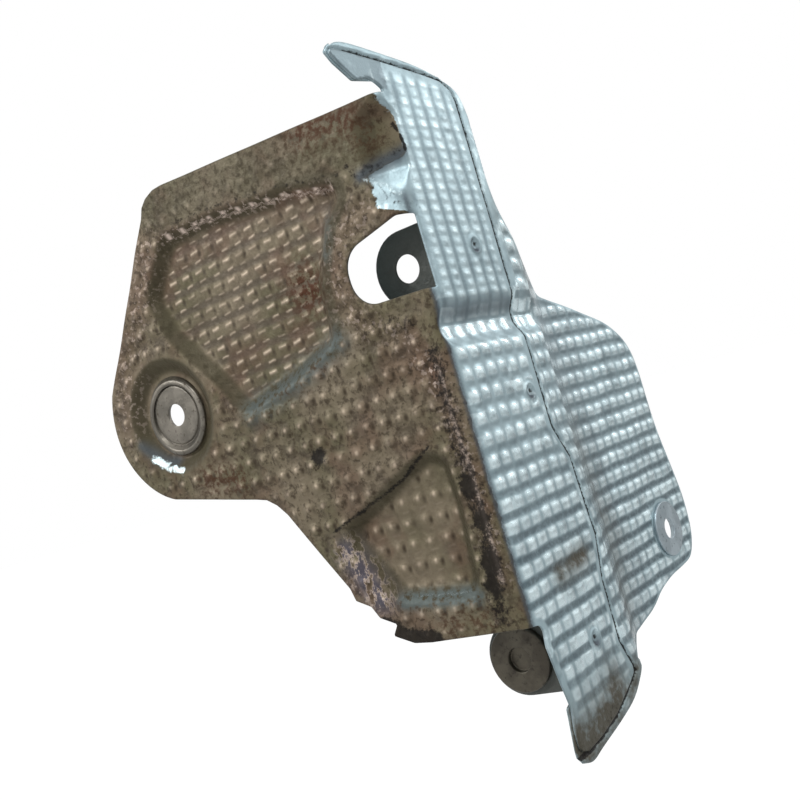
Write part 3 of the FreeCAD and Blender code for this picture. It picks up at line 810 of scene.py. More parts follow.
    def soot(self, u: Array, v: Array) -> Array:
        """One on the burnt face, with an edge that wanders about the gusset."""
        over = 4.5 * ease(43, 46, v) * (1 - ease(54, 61, v))
        under = 9.0 * ease(29, 34, v) * (1 - ease(42, 45, v))
        blur = 1.2 + 1.6 * ease(28, 34, v)
        past = (u - over + under - self.bend - self.arc * 0.45) / blur
        return (1 - ease(-1.0, 1.0, past)) * self.zones(u, v)

    def dark_walls(self, u: Array, v: Array, upper: Array, lower: Array) -> Array:
        """One on the smooth walls of the pockets and the bowl, where the finish paints shade, and a
        little over half on the plain border, which it darkens.

        Args:
            u: flat coordinates along the rows.
            v: heights.
            upper: distance inside the upper pocket.
            lower: distance inside the lower pocket.

        Returns:
            One share a point.
        """
        wall = 0.55 * self.border(u, v)
        for deep in (upper + self.brow(u), lower):
            wall = np.maximum(wall, ease(-0.6, 1.0, deep) * (1 - ease(3.0, 5.0, deep)))
        r = np.hypot(u, v)
        dish = ease(self.bowl_floor_r - 1, self.bowl_floor_r + 1, r)
        dish = dish * (1 - ease(self.bowl_r, self.bowl_r + 1.5, r))
        return np.maximum(wall, dish) * (u < self.bend)

    def painted_shade_bends(self, u: Array, v: Array) -> tuple[Array, Array]:
        """Painted shade along the fold, on the ear and on the lee side of each clinch, and in each
        clinch's pit.

        Args:
            u: flat coordinates along the rows.
            v: heights.

        Returns:
            Shares of painted shade, and of painted shade in the clinch pits.
        """
        folded = self.zones(u, v)
        bend = ease(self.bend + 1.8, self.bend + 2.6, u)
        bend = bend * (1 - ease(self.bend + 2.9, self.bend + 4.0, u))
        bend = 0.9 * bend * folded * (1 - ease(30, 38, v))
        bend = np.maximum(bend, 0.6 * (1 - folded) * (u < self.bend + 8) * (v > 0))
        pits = np.zeros(len(u))
        for clinch in self.clinches:
            x, z = u - self.shift - clinch.place[0], v - clinch.place[1]
            r = np.hypot(x, z)
            # Painted shade on the lee side of each clinch's ring.
            lee = 0.5 - 0.5 * (x + z) / np.maximum(r, 0.1) / math.sqrt(2)
            bend = bend + 1.8 * lee * np.exp(-((r - clinch.radius + 0.3) / 0.8) ** 2)
            # Painted shade in the pit of each clinch.
            pits = pits + 0.9 * np.exp(-(np.hypot(x - 0.6, z - 0.3) / 0.8) ** 2)
        return bend, pits

    def finish_marks(self, u: Array, v: Array, points: Array) -> dict[str, Array]:
        """Soot on the face, clean strip, painted shade on the pocket walls, the fold and the
        clinches, and where the painted dashes and shaded rows fall.

        Args:
            u: flat coordinates along the rows.
            v: heights.
            points: both, as rows of two.

        Returns:
            Values by attribute name.
        """
        fold = self.bend + self.arc * 0.45
        upper, lower = self.pocket_depths(points)
        floors = np.maximum(ease(2, 5, upper), ease(2, 5, lower))
        plain = np.maximum(floors, 1 - ease(self.bowl_r, self.bowl_r + 4, np.hypot(u, v)))
        painted_shade, pits = self.painted_shade_bends(u, v)
        return {"soot": self.soot(u, v), "wall": self.dark_walls(u, v, upper, lower),
                "painted_shade": painted_shade, "grime_and_shade": pits,
                # Where the painted highlight dashes and dots fall.
                "dash": (u < self.bend) * np.maximum(ease(1.5, 4, upper), 0.15),
                "mottle": (u < fold) * (1 - 0.75 * plain),
                "twin": (u > fold) * np.maximum(ease(0, 8, v), 0.35 * ease(-97, -102, v)),
                # Band shapes the rows of dimples and sets the strength of their painted shade, more
                # lower down the strip.
                "band": np.where(u < fold, 0.0, 0.12 + 0.75 * ease(-20, -68, v))}


def seam_path() -> list[Point]:
    """Edge of the strip at the seam from the tip of the ear to the foot, as depth and height."""
    top = [(-9.5, 71.6), (4.3, 70.7), (23.5, 69.1), (33, 67.9), (37.3, 65.5), (38.3, 62)]
    side = [(38.3, 0), (38.3, -36), (43.4, -46), (44.8, -70), (41, -83)]
    foot = [(40.5, -101.4), (45, -111.8), (38.9, -114.4), (27.9, -118.5), (17.1, -120.4),
            (8.5, -121)]
    return top + side + foot


@dataclass
class RearSheet(Sheet):
    """Hidden flange, lip, wall and rear panel in one sheet, with the two lugs."""

    front: FrontSheet | None = None
    lap: float = 1.05
    lip: float = 4.8
    seam_gap: float = 0.75
    wall_y: float = 50.0
    valley_y: float = 66.0
    valley_x: float = 100.2
    panel_y: float = 126.9
    panel_x: float = 101.42
    flange_y: float = 17.0
    lug_y: float = 12.0
    lug_bend_r: float = 2.5
    lug_r: float = 10.8
    lug_in: float = 15.0
    lug_root: float = 13.4
    hole_r: float = 4.4
    lug_hole_r: float = 4.0
    window_lug_z: float = 17.6
    lower_lug_z: float = -94.5
    corner_r: float = 0.6
    plain_edge: Point = (0.2, 2.6)
    panel_eye: Point = (106.9, -83.1)
    edge: tuple[Point, ...] = (
        (-15.6, 71.2), (-12.1, 73.6), (-7.4, 74.2), (1.9, 73.5), (24.6, 71.3), (38.1, 67.1),
        (41.7, 64), (43.6, 55), (45, 33), (48.4, 24.7), (53.7, 15.4), (63.5, 4.8), (75.5, 1.2),
        (91.6, -3.6), (107.3, -8.9), (117.1, -15.7), (121, -24), (121.6, -49.7), (123.9, -61.8),
        (126.9, -75.5), (125.5, -88.8), (119.8, -96.6), (111.7, -97.7), (101.4, -98.2),
        (90.5, -100.2), (82.3, -103.9), (69.5, -106.2), (52.2, -108.6), (49, -113.4),
        (40.1, -118.9), (28.1, -121.3), (15.4, -123.1), (9.2, -124.4), (4, -122.5))
    heel: tuple[Point, ...] = ((4, -119), (6, -108))
    hidden_top: tuple[Point, ...] = ((2, 65.2), (-7, 64.4), (-13, 68.4))
    waves: Waves = Waves(0.13, (0.13, 0.07), (0.6, 1.1), 0.07, (0.21, -0.17))
    panel: Lattice = Lattice(5.7, 5.7, (101.5, -47.2), 0.85)

    def __post_init__(self) -> None:
        """Works out where the lugs lie on the flat sheet."""
        self.flange_x = self.front.fold_x - self.lap
        self.turn_y = self.lug_y + self.lug_bend_r
        self.arc = self.lug_bend_r * math.pi / 2
        reach = self.flange_x - self.lug_bend_r - (self.front.fold_x - self.lug_in)
        self.lug_u = self.turn_y - self.arc - reach
        self.seam_loop = np.array(seam_path() + [(-40.0, -121.0), (-40.0, 71.6)], float)

    def tab(self, z: float, root: float) -> list[Point]:
        """Outline of a lug on the flat sheet, from its lower root to its upper one."""
        end = arc_points((self.lug_u, z), self.lug_r, 270, 90, 20)
        return [(root, z - self.lug_r)] + end + [(self.flange_y, z + self.lug_r)]

    def loops(self) -> list[Array]:
        """The outline with both lugs, and the holes for the eyelets and the bolt."""
        loop = round_open(self.edge) + list(self.heel)
        loop += self.tab(self.lower_lug_z, self.lug_root)
        loop += self.tab(self.window_lug_z, self.flange_y)
        loop += [(self.flange_y, 60), *self.hidden_top]
        holes = [((self.lug_u, self.lower_lug_z), self.hole_r),
                 ((self.lug_u, self.window_lug_z), self.lug_hole_r), (self.panel_eye, self.hole_r)]
        return [round_loop(loop, self.corner_r)] + [round_hole(c, r) for c, r in holes]

    def zones(self, u: Array, v: Array) -> Array:
        """One on the two lugs, zero elsewhere."""
        heights = np.array([self.window_lug_z, self.lower_lug_z])
        near = np.min(np.abs(v[:, None] - heights), axis=1)
        return ((u < self.flange_y) & (near <= self.lug_r + 0.3)).astype(float)

    def past_seam(self, points: Array) -> Array:
        """Distance past the edge of the strip, negative under the strip."""
        return -depth_inside(points, self.seam_loop)

    def profile(self, y: Array) -> Array:
        """Depth of the outer face of the sheet along its bends."""
        fall = (self.valley_x - self.flange_x) / (self.valley_y - self.wall_y)
        wall = self.flange_x + fall * (y - self.wall_y)
        panel = self.valley_x + self.panel_slope() * (y - self.valley_y)
        x = soft_min(np.full(len(y), self.flange_x), wall, 1.0)
        return -soft_min(-x, -np.where(y > self.wall_y + 6, panel, -1e3), 1.0)

    def panel_slope(self) -> float:
        """Slope at which the rear panel comes out again past the step."""
        return (self.panel_x - self.valley_x) / (self.panel_y - self.valley_y)

    def from_eye(self, u: Array, v: Array) -> Array:
        """Distance of each flat point from the panel's eyelet."""
        return np.hypot(u - self.panel_eye[0], v - self.panel_eye[1])

    def place(self, u: Array, v: Array, zone: Array) -> Array:
        """Outer surface of the formed sheet in mm.

        Args:
            u: flat coordinate, the depth and then along a lug.
            v: height.
            zone: one on the lugs.

        Returns:
            Points as rows of three.
        """
        past = self.past_seam(np.column_stack([u, v]))
        lip = ease(self.seam_gap - 0.45, self.seam_gap + 0.1, past)
        lip = self.lap * lip * (1 - ease(self.lip - 0.5, self.lip + 0.9, past))
        x = self.profile(u) + lip * (1 - zone)
        x = soft_min(x, self.flange_x + lip - self.front.groove(v) + GROOVE_REST, GROOVE_SOFT)
        turn = np.clip((self.turn_y - u) / self.lug_bend_r, 0.0, math.pi / 2)
        run = np.maximum(self.turn_y - self.arc - u, 0.0)
        lug_x = self.flange_x - self.lug_bend_r * (1 - np.cos(turn)) - run
        lug_y = np.where(u > self.turn_y, u, self.turn_y - self.lug_bend_r * np.sin(turn))
        free = ease(self.valley_y, self.valley_y + 10, u) * ease(10, 15, self.from_eye(u, v))
        x = x - free * (self.waves.at(u, v) + 0.2)
        on_lug = zone > 0.5
        x = np.where(on_lug, lug_x, x)
        y = np.where(on_lug, np.maximum(lug_y, self.lug_y), u)
        return np.column_stack([x, y, v])

    def lattice(self, u: Array, v: Array, points: Array) -> tuple[Array, Array, Array]:
        """Cells along, cells across and strength of the embossing.

        Args:
            u: flat coordinates along the rows.
            v: heights.
            points: both, as rows of two.

        Returns:
            Cells along, cells across and strength.
        """
        along, across = self.panel.cells(u, v)
        lap = u < self.wall_y + 2
        over = v > self.front.strip_joint
        for chosen, key in ((lap & over, "strip_top"), (lap & ~over, "strip_foot")):
            a, b = self.front.fields[key].cells(u, v)
            along, across = np.where(chosen, a, along), np.where(chosen, b, across)
        past = self.past_seam(points)
        end = 1.0 + (self.lip - 1.0) * ease(2, 12, v)
        hem = ease(-3.4, -1.6, past) * (1 - ease(0, 1, (past - end) / 2))
        step = ease(self.wall_y - 1, self.wall_y + 2, u)
        step = step * (1 - ease(self.valley_y - 1, self.valley_y + 4, u))
        strength = self.panel.press * ease(*self.plain_edge, self.edge_gap(points))
        strength = strength * (1 - hem) * (1 - self.zones(u, v)) * (1 - 0.4 * step)
        return along, across, strength * ease(9.8, 12.5, self.from_eye(u, v))

    def finish_marks(self, u: Array, v: Array, points: Array) -> dict[str, Array]:
        """Clean metal with painted shade on its wall and the panel's first stretch, a painted dark
        line of shade in the seam, and dark lugs.

        Args:
            u: flat coordinates along the rows.
            v: heights.
            points: both, as rows of two.

        Returns:
            Values by attribute name.
        """
        lugs = self.zones(u, v) * (1 - ease(self.turn_y - 1.5, self.flange_y, u))
        past = self.past_seam(points)
        # Painted shade: a dark line in the gap of the seam.
        slot = ease(-0.5, 0.0, past) * (1 - ease(self.seam_gap - 0.35, self.seam_gap + 0.15, past))
        slot = slot * ease(-12, -8, u) * (1 - 0.35 * ease(62, 66, v))
        # Painted shade on the wall and, more faintly, on the first stretch of the panel.
        wall = ease(self.wall_y, self.wall_y + 4, u)
        near = 1 - ease(self.valley_y - 1, self.valley_y + 3, u)
        far = 1 - ease(self.valley_y + 6, self.valley_y + 18, u)
        # Band shapes the rows of dimples and sets the strength of their painted shade, more lower
        # down and past the valley.
        rows = 0.4 * ease(-30, -75, v) + 0.15 * ease(self.valley_y, self.valley_y + 8, u)
        return {"painted_shade": wall * np.maximum(0.4 * near, 0.3 * far), "band": 0.38 + rows,
                "lug": lugs, "grime_and_shade": 1.5 * slot}


def round_open(points: tuple[Point, ...]) -> list[Point]:
    """An open run of points with its inner corners cut to short curves."""
    pts = np.array(points, float)
    out: list[Point] = [tuple(pts[0])]
    for p, q, r in zip(pts[:-2], pts[1:-1], pts[2:]):
        for t in (0.0, 0.25, 0.5, 0.75, 1.0):
            a = q + (p - q) * 0.42
            b = q + (r - q) * 0.42
            m = a * (1 - t) ** 2 + q * 2 * t * (1 - t) + b * t * t
            out.append((float(m[0]), float(m[1])))
    out.append(tuple(pts[-1]))
    return out


# Geometry Nodes

class NodeGraph:
    """Short ways to add nodes and links to one node tree."""

    def __init__(self, tree: bpy.types.NodeTree) -> None:
        """Keeps the tree that takes the nodes."""
        self.tree = tree

    def add(self, kind: str, **values) -> bpy.types.Node:
        """A node of a kind, with properties by name and inputs by socket name or number.

        Args:
            kind: Blender's name of the node.
            values: properties, and the inputs as a dictionary named inputs.

        Returns:
            The new node.
        """
        inputs = values.pop("inputs", {})
        node = self.tree.nodes.new(kind)
        for key, value in values.items():
            setattr(node, key, value)
        for key, value in inputs.items():
            self.feed(node.inputs[key], value)
        return node

    def feed(self, socket: Socket, value: Value) -> None:
        """Links an output to a socket, or sets the socket's own value."""
        if isinstance(value, Socket):
            self.tree.links.new(value, socket)
        else:
            socket.default_value = value

    def math(self, operation: str, a: Value, b: Value = 0.0) -> Socket:
        """The result of one sum on two values."""
        return self.add("ShaderNodeMath", operation=operation, inputs={0: a, 1: b}).outputs[0]

    def vector(self, operation: str, **inputs: Value) -> Socket:
        """The result of one sum on vectors, with inputs a, b and c or by name."""
        keys = {"a": 0, "b": 1, "c": 2}
        named = {keys.get(key, key): value for key, value in inputs.items()}
        return self.add("ShaderNodeVectorMath", operation=operation, inputs=named).outputs[0]

    def step(self, value: Value, low: float, high: float, to_low: float = 0.0,
             to_high: float = 1.0) -> Socket:
        """A soft step of a value from one range to another."""
        node = self.add("ShaderNodeMapRange", interpolation_type="SMOOTHSTEP", clamp=True,
                        inputs={0: value, 1: low, 2: high, 3: to_low, 4: to_high})
        return node.outputs[0]

    def times(self, *values: Value) -> Socket:
        """The product of several values."""
        product = values[0]
        for value in values[1:]:
            product = self.math("MULTIPLY", product, value)
        return product

    def bell(self, value: Value, middle: float, width: float) -> Socket:
        """A soft hump of a value about a middle."""
        away = self.math("DIVIDE", self.math("SUBTRACT", value, middle), width)
        return self.math("EXPONENT", self.math("MULTIPLY", self.times(away, away), -1.0))

    def in_cell(self, cell: Socket) -> tuple[Socket, ...]:
        """Place within a cell of the embossing, from minus a half to a half each way."""
        split = self.add("ShaderNodeSeparateXYZ", inputs={0: cell})
        shifted = [self.math("ADD", split.outputs[i], 0.5) for i in (0, 1)]
        return tuple(self.math("SUBTRACT", self.math("FRACT", value), 0.5) for value in shifted)

    def chance(self, cell: Socket, seed: Value) -> Socket:
        """A random value for each cell of the embossing."""
        whole = self.vector("FLOOR", a=self.vector("ADD", a=cell, b=(0.5, 0.5, 0.5)))
        noise = self.add("ShaderNodeTexWhiteNoise", noise_dimensions="4D",
                         inputs={"Vector": whole, "W": seed})
        return noise.outputs["Value"]

    def hump(self, value: Value, flat: float, foot: float) -> Socket:
        """One within a half width of zero, and gone at its foot."""
        return self.step(self.math("ABSOLUTE", value), flat, foot, 1.0, 0.0)


@dataclass(frozen=True)
class Embossing:
    """The dimples of the sheet, raised along it by a tree of nodes."""

    height: float = 0.95
    flat: float = 0.06
    foot: float = 0.48
    level: float = 0.32
    ridge: float = 0.6
    pair: float = 0.25
    pair_flat: float = 0.04
    pair_foot: float = 0.22
    pair_share: float = 0.45
    unevenness: float = 0.35
    seed: float = 7.0

    def stored(self, g: NodeGraph, name: str, kind: str = "FLOAT") -> Socket:
        """The value of an attribute that the sheet stored."""
        node = g.add("GeometryNodeInputNamedAttribute", data_type=kind, inputs={"Name": name})
        return node.outputs[0]

    def tree(self) -> bpy.types.NodeTree:
        """The node tree, with named inputs for the sizes.

        Returns:
            The tree.
        """
        tree = bpy.data.node_groups.new("dimple_rows", "GeometryNodeTree")
        face = tree.interface
        face.new_socket("Geometry", in_out="INPUT", socket_type="NodeSocketGeometry")
        for name in ("Height", "Unevenness", "Seed"):
            face.new_socket(name, in_out="INPUT", socket_type="NodeSocketFloat")
        face.new_socket("Finish", in_out="INPUT", socket_type="NodeSocketMaterial")
        face.new_socket("Geometry", in_out="OUTPUT", socket_type="NodeSocketGeometry")
        g = NodeGraph(tree)
        start = g.add("NodeGroupInput")
        end = g.add("NodeGroupOutput")
        cell, out = (self.stored(g, name, "FLOAT_VECTOR") for name in ("cell", "out"))
        strength, band, twin = (self.stored(g, name) for name in ("emboss", "band", "twin"))
        split = g.math("SUBTRACT", 1.0, g.math("MULTIPLY", band, self.ridge))
        place = g.in_cell(cell)
        a, b = (g.hump(t, self.flat, self.foot) for t in place)
        between = g.math("MULTIPLY", split, g.math("SUBTRACT", 1.0, a))
        row = g.times(b, g.math("SUBTRACT", 1.0, between))
        beside = g.math("SUBTRACT", g.math("ABSOLUTE", place[1]), self.pair)
        pair = g.times(g.hump(beside, self.pair_flat, self.pair_foot), self.pair_share)
        column = g.times(a, g.math("ADD", 1.0 - self.pair_share, pair))
        more = g.math("MULTIPLY", g.math("SUBTRACT", column, row), twin)
        shape = g.math("SUBTRACT", g.math("ADD", row, more), self.level)
        chance = g.chance(cell, start.outputs["Seed"])
        vary = g.math("SUBTRACT", 1.0, g.math("MULTIPLY", chance, start.outputs["Unevenness"]))
        lift = g.times(shape, vary, strength, start.outputs["Height"])
        offset = g.vector("SCALE", a=out, Scale=lift)
        moved = g.add("GeometryNodeSetPosition",
                      inputs={"Geometry": start.outputs[0], "Offset": offset})
        smooth = g.add("GeometryNodeSetShadeSmooth", inputs={"Geometry": moved.outputs[0]})
        real = g.add("GeometryNodeRealizeInstances", inputs={"Geometry": smooth.outputs[0]})
        dressed = g.add("GeometryNodeSetMaterial",
                        inputs={"Geometry": real.outputs[0], "Material": start.outputs["Finish"]})
        tree.links.new(dressed.outputs[0], end.inputs[0])
        return tree

    def press(self, obj: bpy.types.Object, tree: bpy.types.NodeTree,
              finish: bpy.types.Material) -> None:
        """Presses the dimples into a sheet and leaves it a plain mesh.

        Args:
            obj: sheet with its attributes.
            tree: tree of this embossing.
            finish: material of the sheet.
        """
        modifier = obj.modifiers.new("dimples", "NODES")
        modifier.node_group = tree
        sockets = {s.name: s.identifier for s in tree.interface.items_tree if s.in_out == "INPUT"}
        values = {"Height": self.height * MM, "Unevenness": self.unevenness, "Seed": self.seed,
                  "Finish": finish}
        for name, value in values.items():
            modifier[sockets[name]] = value
        graph = bpy.context.evaluated_depsgraph_get()
        mesh = bpy.data.meshes.new_from_object(obj.evaluated_get(graph))
        obj.modifiers.clear()
        obj.data = mesh


# Eyelets

@dataclass(frozen=True)
class Eyelet:
    """A turned eyelet, from its profile of radius and height with rounded corners."""

    name: str
    node: str
    profile: tuple[Triple, ...]
    foot: Triple
    axis: Triple
    lean: Triple = (0.0, 0.0, 0.0)
    lean_from: Point = (10.0, 0.5)
    segments: int = 96

    def section(self) -> list[Point]:
        """The profile with its corners rounded."""
        pts = [np.array(p[:2]) for p in self.profile]
        out: list[Point] = []
        for i, q in enumerate(pts):
            p, r = pts[i - 1], pts[(i + 1) % len(pts)]
            radius = self.profile[i][2]
            if radius <= 0:
                out.append((float(q[0]), float(q[1])))
                continue
            la, lb = np.linalg.norm(p - q), np.linalg.norm(r - q)
            cut = min(radius, 0.48 * la, 0.48 * lb)
            for t in np.linspace(0, 1, 6):
                m = q + (p - q) / la * cut * (1 - t) ** 2 + (r - q) / lb * cut * t * t
                out.append((float(m[0]), float(m[1])))
        return out

    def build(self, finish: bpy.types.Material) -> bpy.types.Object:
        """The turned mesh at its place.

        Args:
            finish: material of the eyelet.

        Returns:
            The finished object.
        """
        axis = Vector(self.axis).normalized()
        side = axis.orthogonal().normalized()
        other = axis.cross(side)
        verts: list[Vector] = []
        rows: list[list[int]] = []
        for radius, height in self.section():
            turns = self.segments if radius > 1e-6 else 1
            leans = radius > self.lean_from[0] and height > self.lean_from[1]
            middle = Vector(self.foot) + axis * height + (Vector(self.lean) if leans else Vector())
            rows.append(list(range(len(verts), len(verts) + turns)))
            for i in range(turns):
                a = math.tau * i / self.segments
                spoke = side * (math.cos(a) * radius) + other * (math.sin(a) * radius)
                verts.append((middle + spoke) * MM)
        faces: list[tuple[int, ...]] = []
        for one, two in zip(rows, rows[1:] + rows[:1]):
            if len(one) == 1 and len(two) == 1:
                continue
            for i in range(self.segments):
                k = (i + 1) % self.segments
                quad = [row[j % len(row)] for row, j in ((one, i), (one, k), (two, k), (two, i))]
                faces.append(tuple(dict.fromkeys(quad)))
        mesh = bpy.data.meshes.new(self.name)
        mesh.from_pydata(verts, [], faces)
        mesh.polygons.foreach_set("use_smooth", [True] * len(mesh.polygons))
        mesh.materials.append(finish)
        return new_object(self.name, mesh)


# Finishes

def colour(red: int, green: int, blue: int) -> Colour:
    """A colour given as it looks on a screen, for a socket."""
    parts = [c / 255.0 for c in (red, green, blue)]
    linear = [c / 12.92 if c <= 0.04045 else ((c + 0.055) / 1.055) ** 2.4 for c in parts]
    return (*linear, 1.0)


class Paint(NodeGraph):
    """Nodes of one material, about its main shader."""

    def __init__(self, name: str) -> None:
        """Starts a material with one main shader."""
        self.material = bpy.data.materials.new(name)
        self.material.use_nodes = True
        super().__init__(self.material.node_tree)
        self.shader = self.tree.nodes["Principled BSDF"]
        self.where = self.add("ShaderNodeTexCoord").outputs["Object"]

    def noise(self, scale: float, detail: float = 3.0, rough: float = 0.55,
              stretch: Triple | None = None) -> Socket:
        """A cloudy pattern, with a scale in cycles a metre.

        Args:
            scale: cycles a metre.
            detail: number of finer layers.
            rough: strength of the finer layers.
            stretch: scale of each axis.

        Returns:
            The value socket.
        """
        place = self.where
        if stretch:
            node = self.add("ShaderNodeMapping", inputs={"Vector": place, "Scale": stretch})
            place = node.outputs[0]
        node = self.add("ShaderNodeTexNoise", inputs={
            "Vector": place, "Scale": scale, "Detail": detail, "Roughness": rough})
        return node.outputs["Fac"]

    def mark(self, name: str) -> Socket:
        """The value of a stored attribute."""
        return self.add("ShaderNodeAttribute", attribute_name=name).outputs["Fac"]

    def mix(self, share: Value, first: Value, second: Value) -> Socket:
        """One colour laid over another by a share."""
        node = self.add("ShaderNodeMix", data_type="RGBA", inputs={"Factor": share})
        self.feed(node.inputs[6], first)
        self.feed(node.inputs[7], second)
        return node.outputs[2]

    def coats(self, base: Value, *layers: tuple[Value, Colour]) -> Value:
        """A colour with others laid over it in turn, each by its own share."""
        for share, tint in layers:
            base = self.mix(share, base, tint)
        return base

    def blend(self, share: Value, first: Value, second: Value) -> Socket:
        """One value laid over another by a share."""
        inputs = {"Factor": share, 2: first, 3: second}
        return self.add("ShaderNodeMix", data_type="FLOAT", inputs=inputs).outputs[0]

    def bump(self, height: Socket, distance: float, strength: float = 1.0) -> None:
        """Fine relief of the surface."""
        node = self.add("ShaderNodeBump", inputs={
            "Height": height, "Distance": distance, "Strength": strength})
        self.feed(self.shader.inputs["Normal"], node.outputs[0])


class CellLook:
    """Patterns inside each cell of the embossing, as values that a finish mixes by: painted
    highlights in block, spots, stroke, dash, dot and bead, painted shade in band, post and pit.
    """

    def __init__(self, p: Paint, warp: float = 0.15, seed: float = 3.0) -> None:
        """Works the patterns out of the stored cells.

        Args:
            p: material that reads them.
            warp: share of a cell by which the pattern wanders.
            seed: seed of what differs from cell to cell.
        """
        cell = p.add("ShaderNodeAttribute", attribute_name="cell").outputs["Vector"]
        drift = p.add("ShaderNodeTexNoise", inputs={
            "Vector": p.where, "Scale": 210.0, "Detail": 2.0})
        moved = p.vector("MULTIPLY_ADD", a=drift.outputs["Color"], b=(warp, warp, 0.0), c=cell)
        a, b = p.in_cell(p.vector("SUBTRACT", a=moved, b=(warp / 2, warp / 2, 0.0)))
        tilted = p.math("SUBTRACT", b, p.times(a, 0.1))
        self.emboss = p.mark("emboss")
        self.chance = p.chance(cell, seed)
        self.other = p.chance(cell, seed + 1.0)
        shown = p.step(self.emboss, 0.05, 0.4)
        self.block = p.times(p.hump(a, 0.26, 0.47), p.hump(b, 0.16, 0.34), shown)
        self.band = p.times(p.step(p.math("ABSOLUTE", b), 0.22, 0.42), shown)
        strong = p.times(p.hump(a, 0.1, 0.32), p.bell(b, -0.24, 0.1))
        soft = p.times(p.bell(a, -0.02, 0.17), p.bell(b, 0.26, 0.14), 0.6)
        stripe = p.times(p.hump(a, 0.1, 0.42), 0.3)
        spots = p.math("MAXIMUM", p.math("MAXIMUM", strong, soft), stripe)
        self.spots = p.times(spots, shown)
        self.post = p.times(p.step(p.math("ABSOLUTE", a), 0.28, 0.46), shown)
        self.stroke = p.times(p.bell(tilted, 0.12, 0.082), p.hump(a, 0.18, 0.34))
        beside = p.hump(p.math("SUBTRACT", a, 0.12), 0.14, 0.3)
        faint = p.times(p.bell(tilted, -0.38, 0.06), beside, 0.75)
        self.dash = p.times(p.math("ADD", self.stroke, faint), shown)
        self.dot = p.times(p.bell(a, 0.02, 0.11), p.bell(b, 0.1, 0.11), shown)
        self.pit = p.times(p.bell(a, 0.37, 0.12), p.bell(b, 0.0, 0.2), shown)
        self.bead = p.bell(a, 0.0, 0.14)


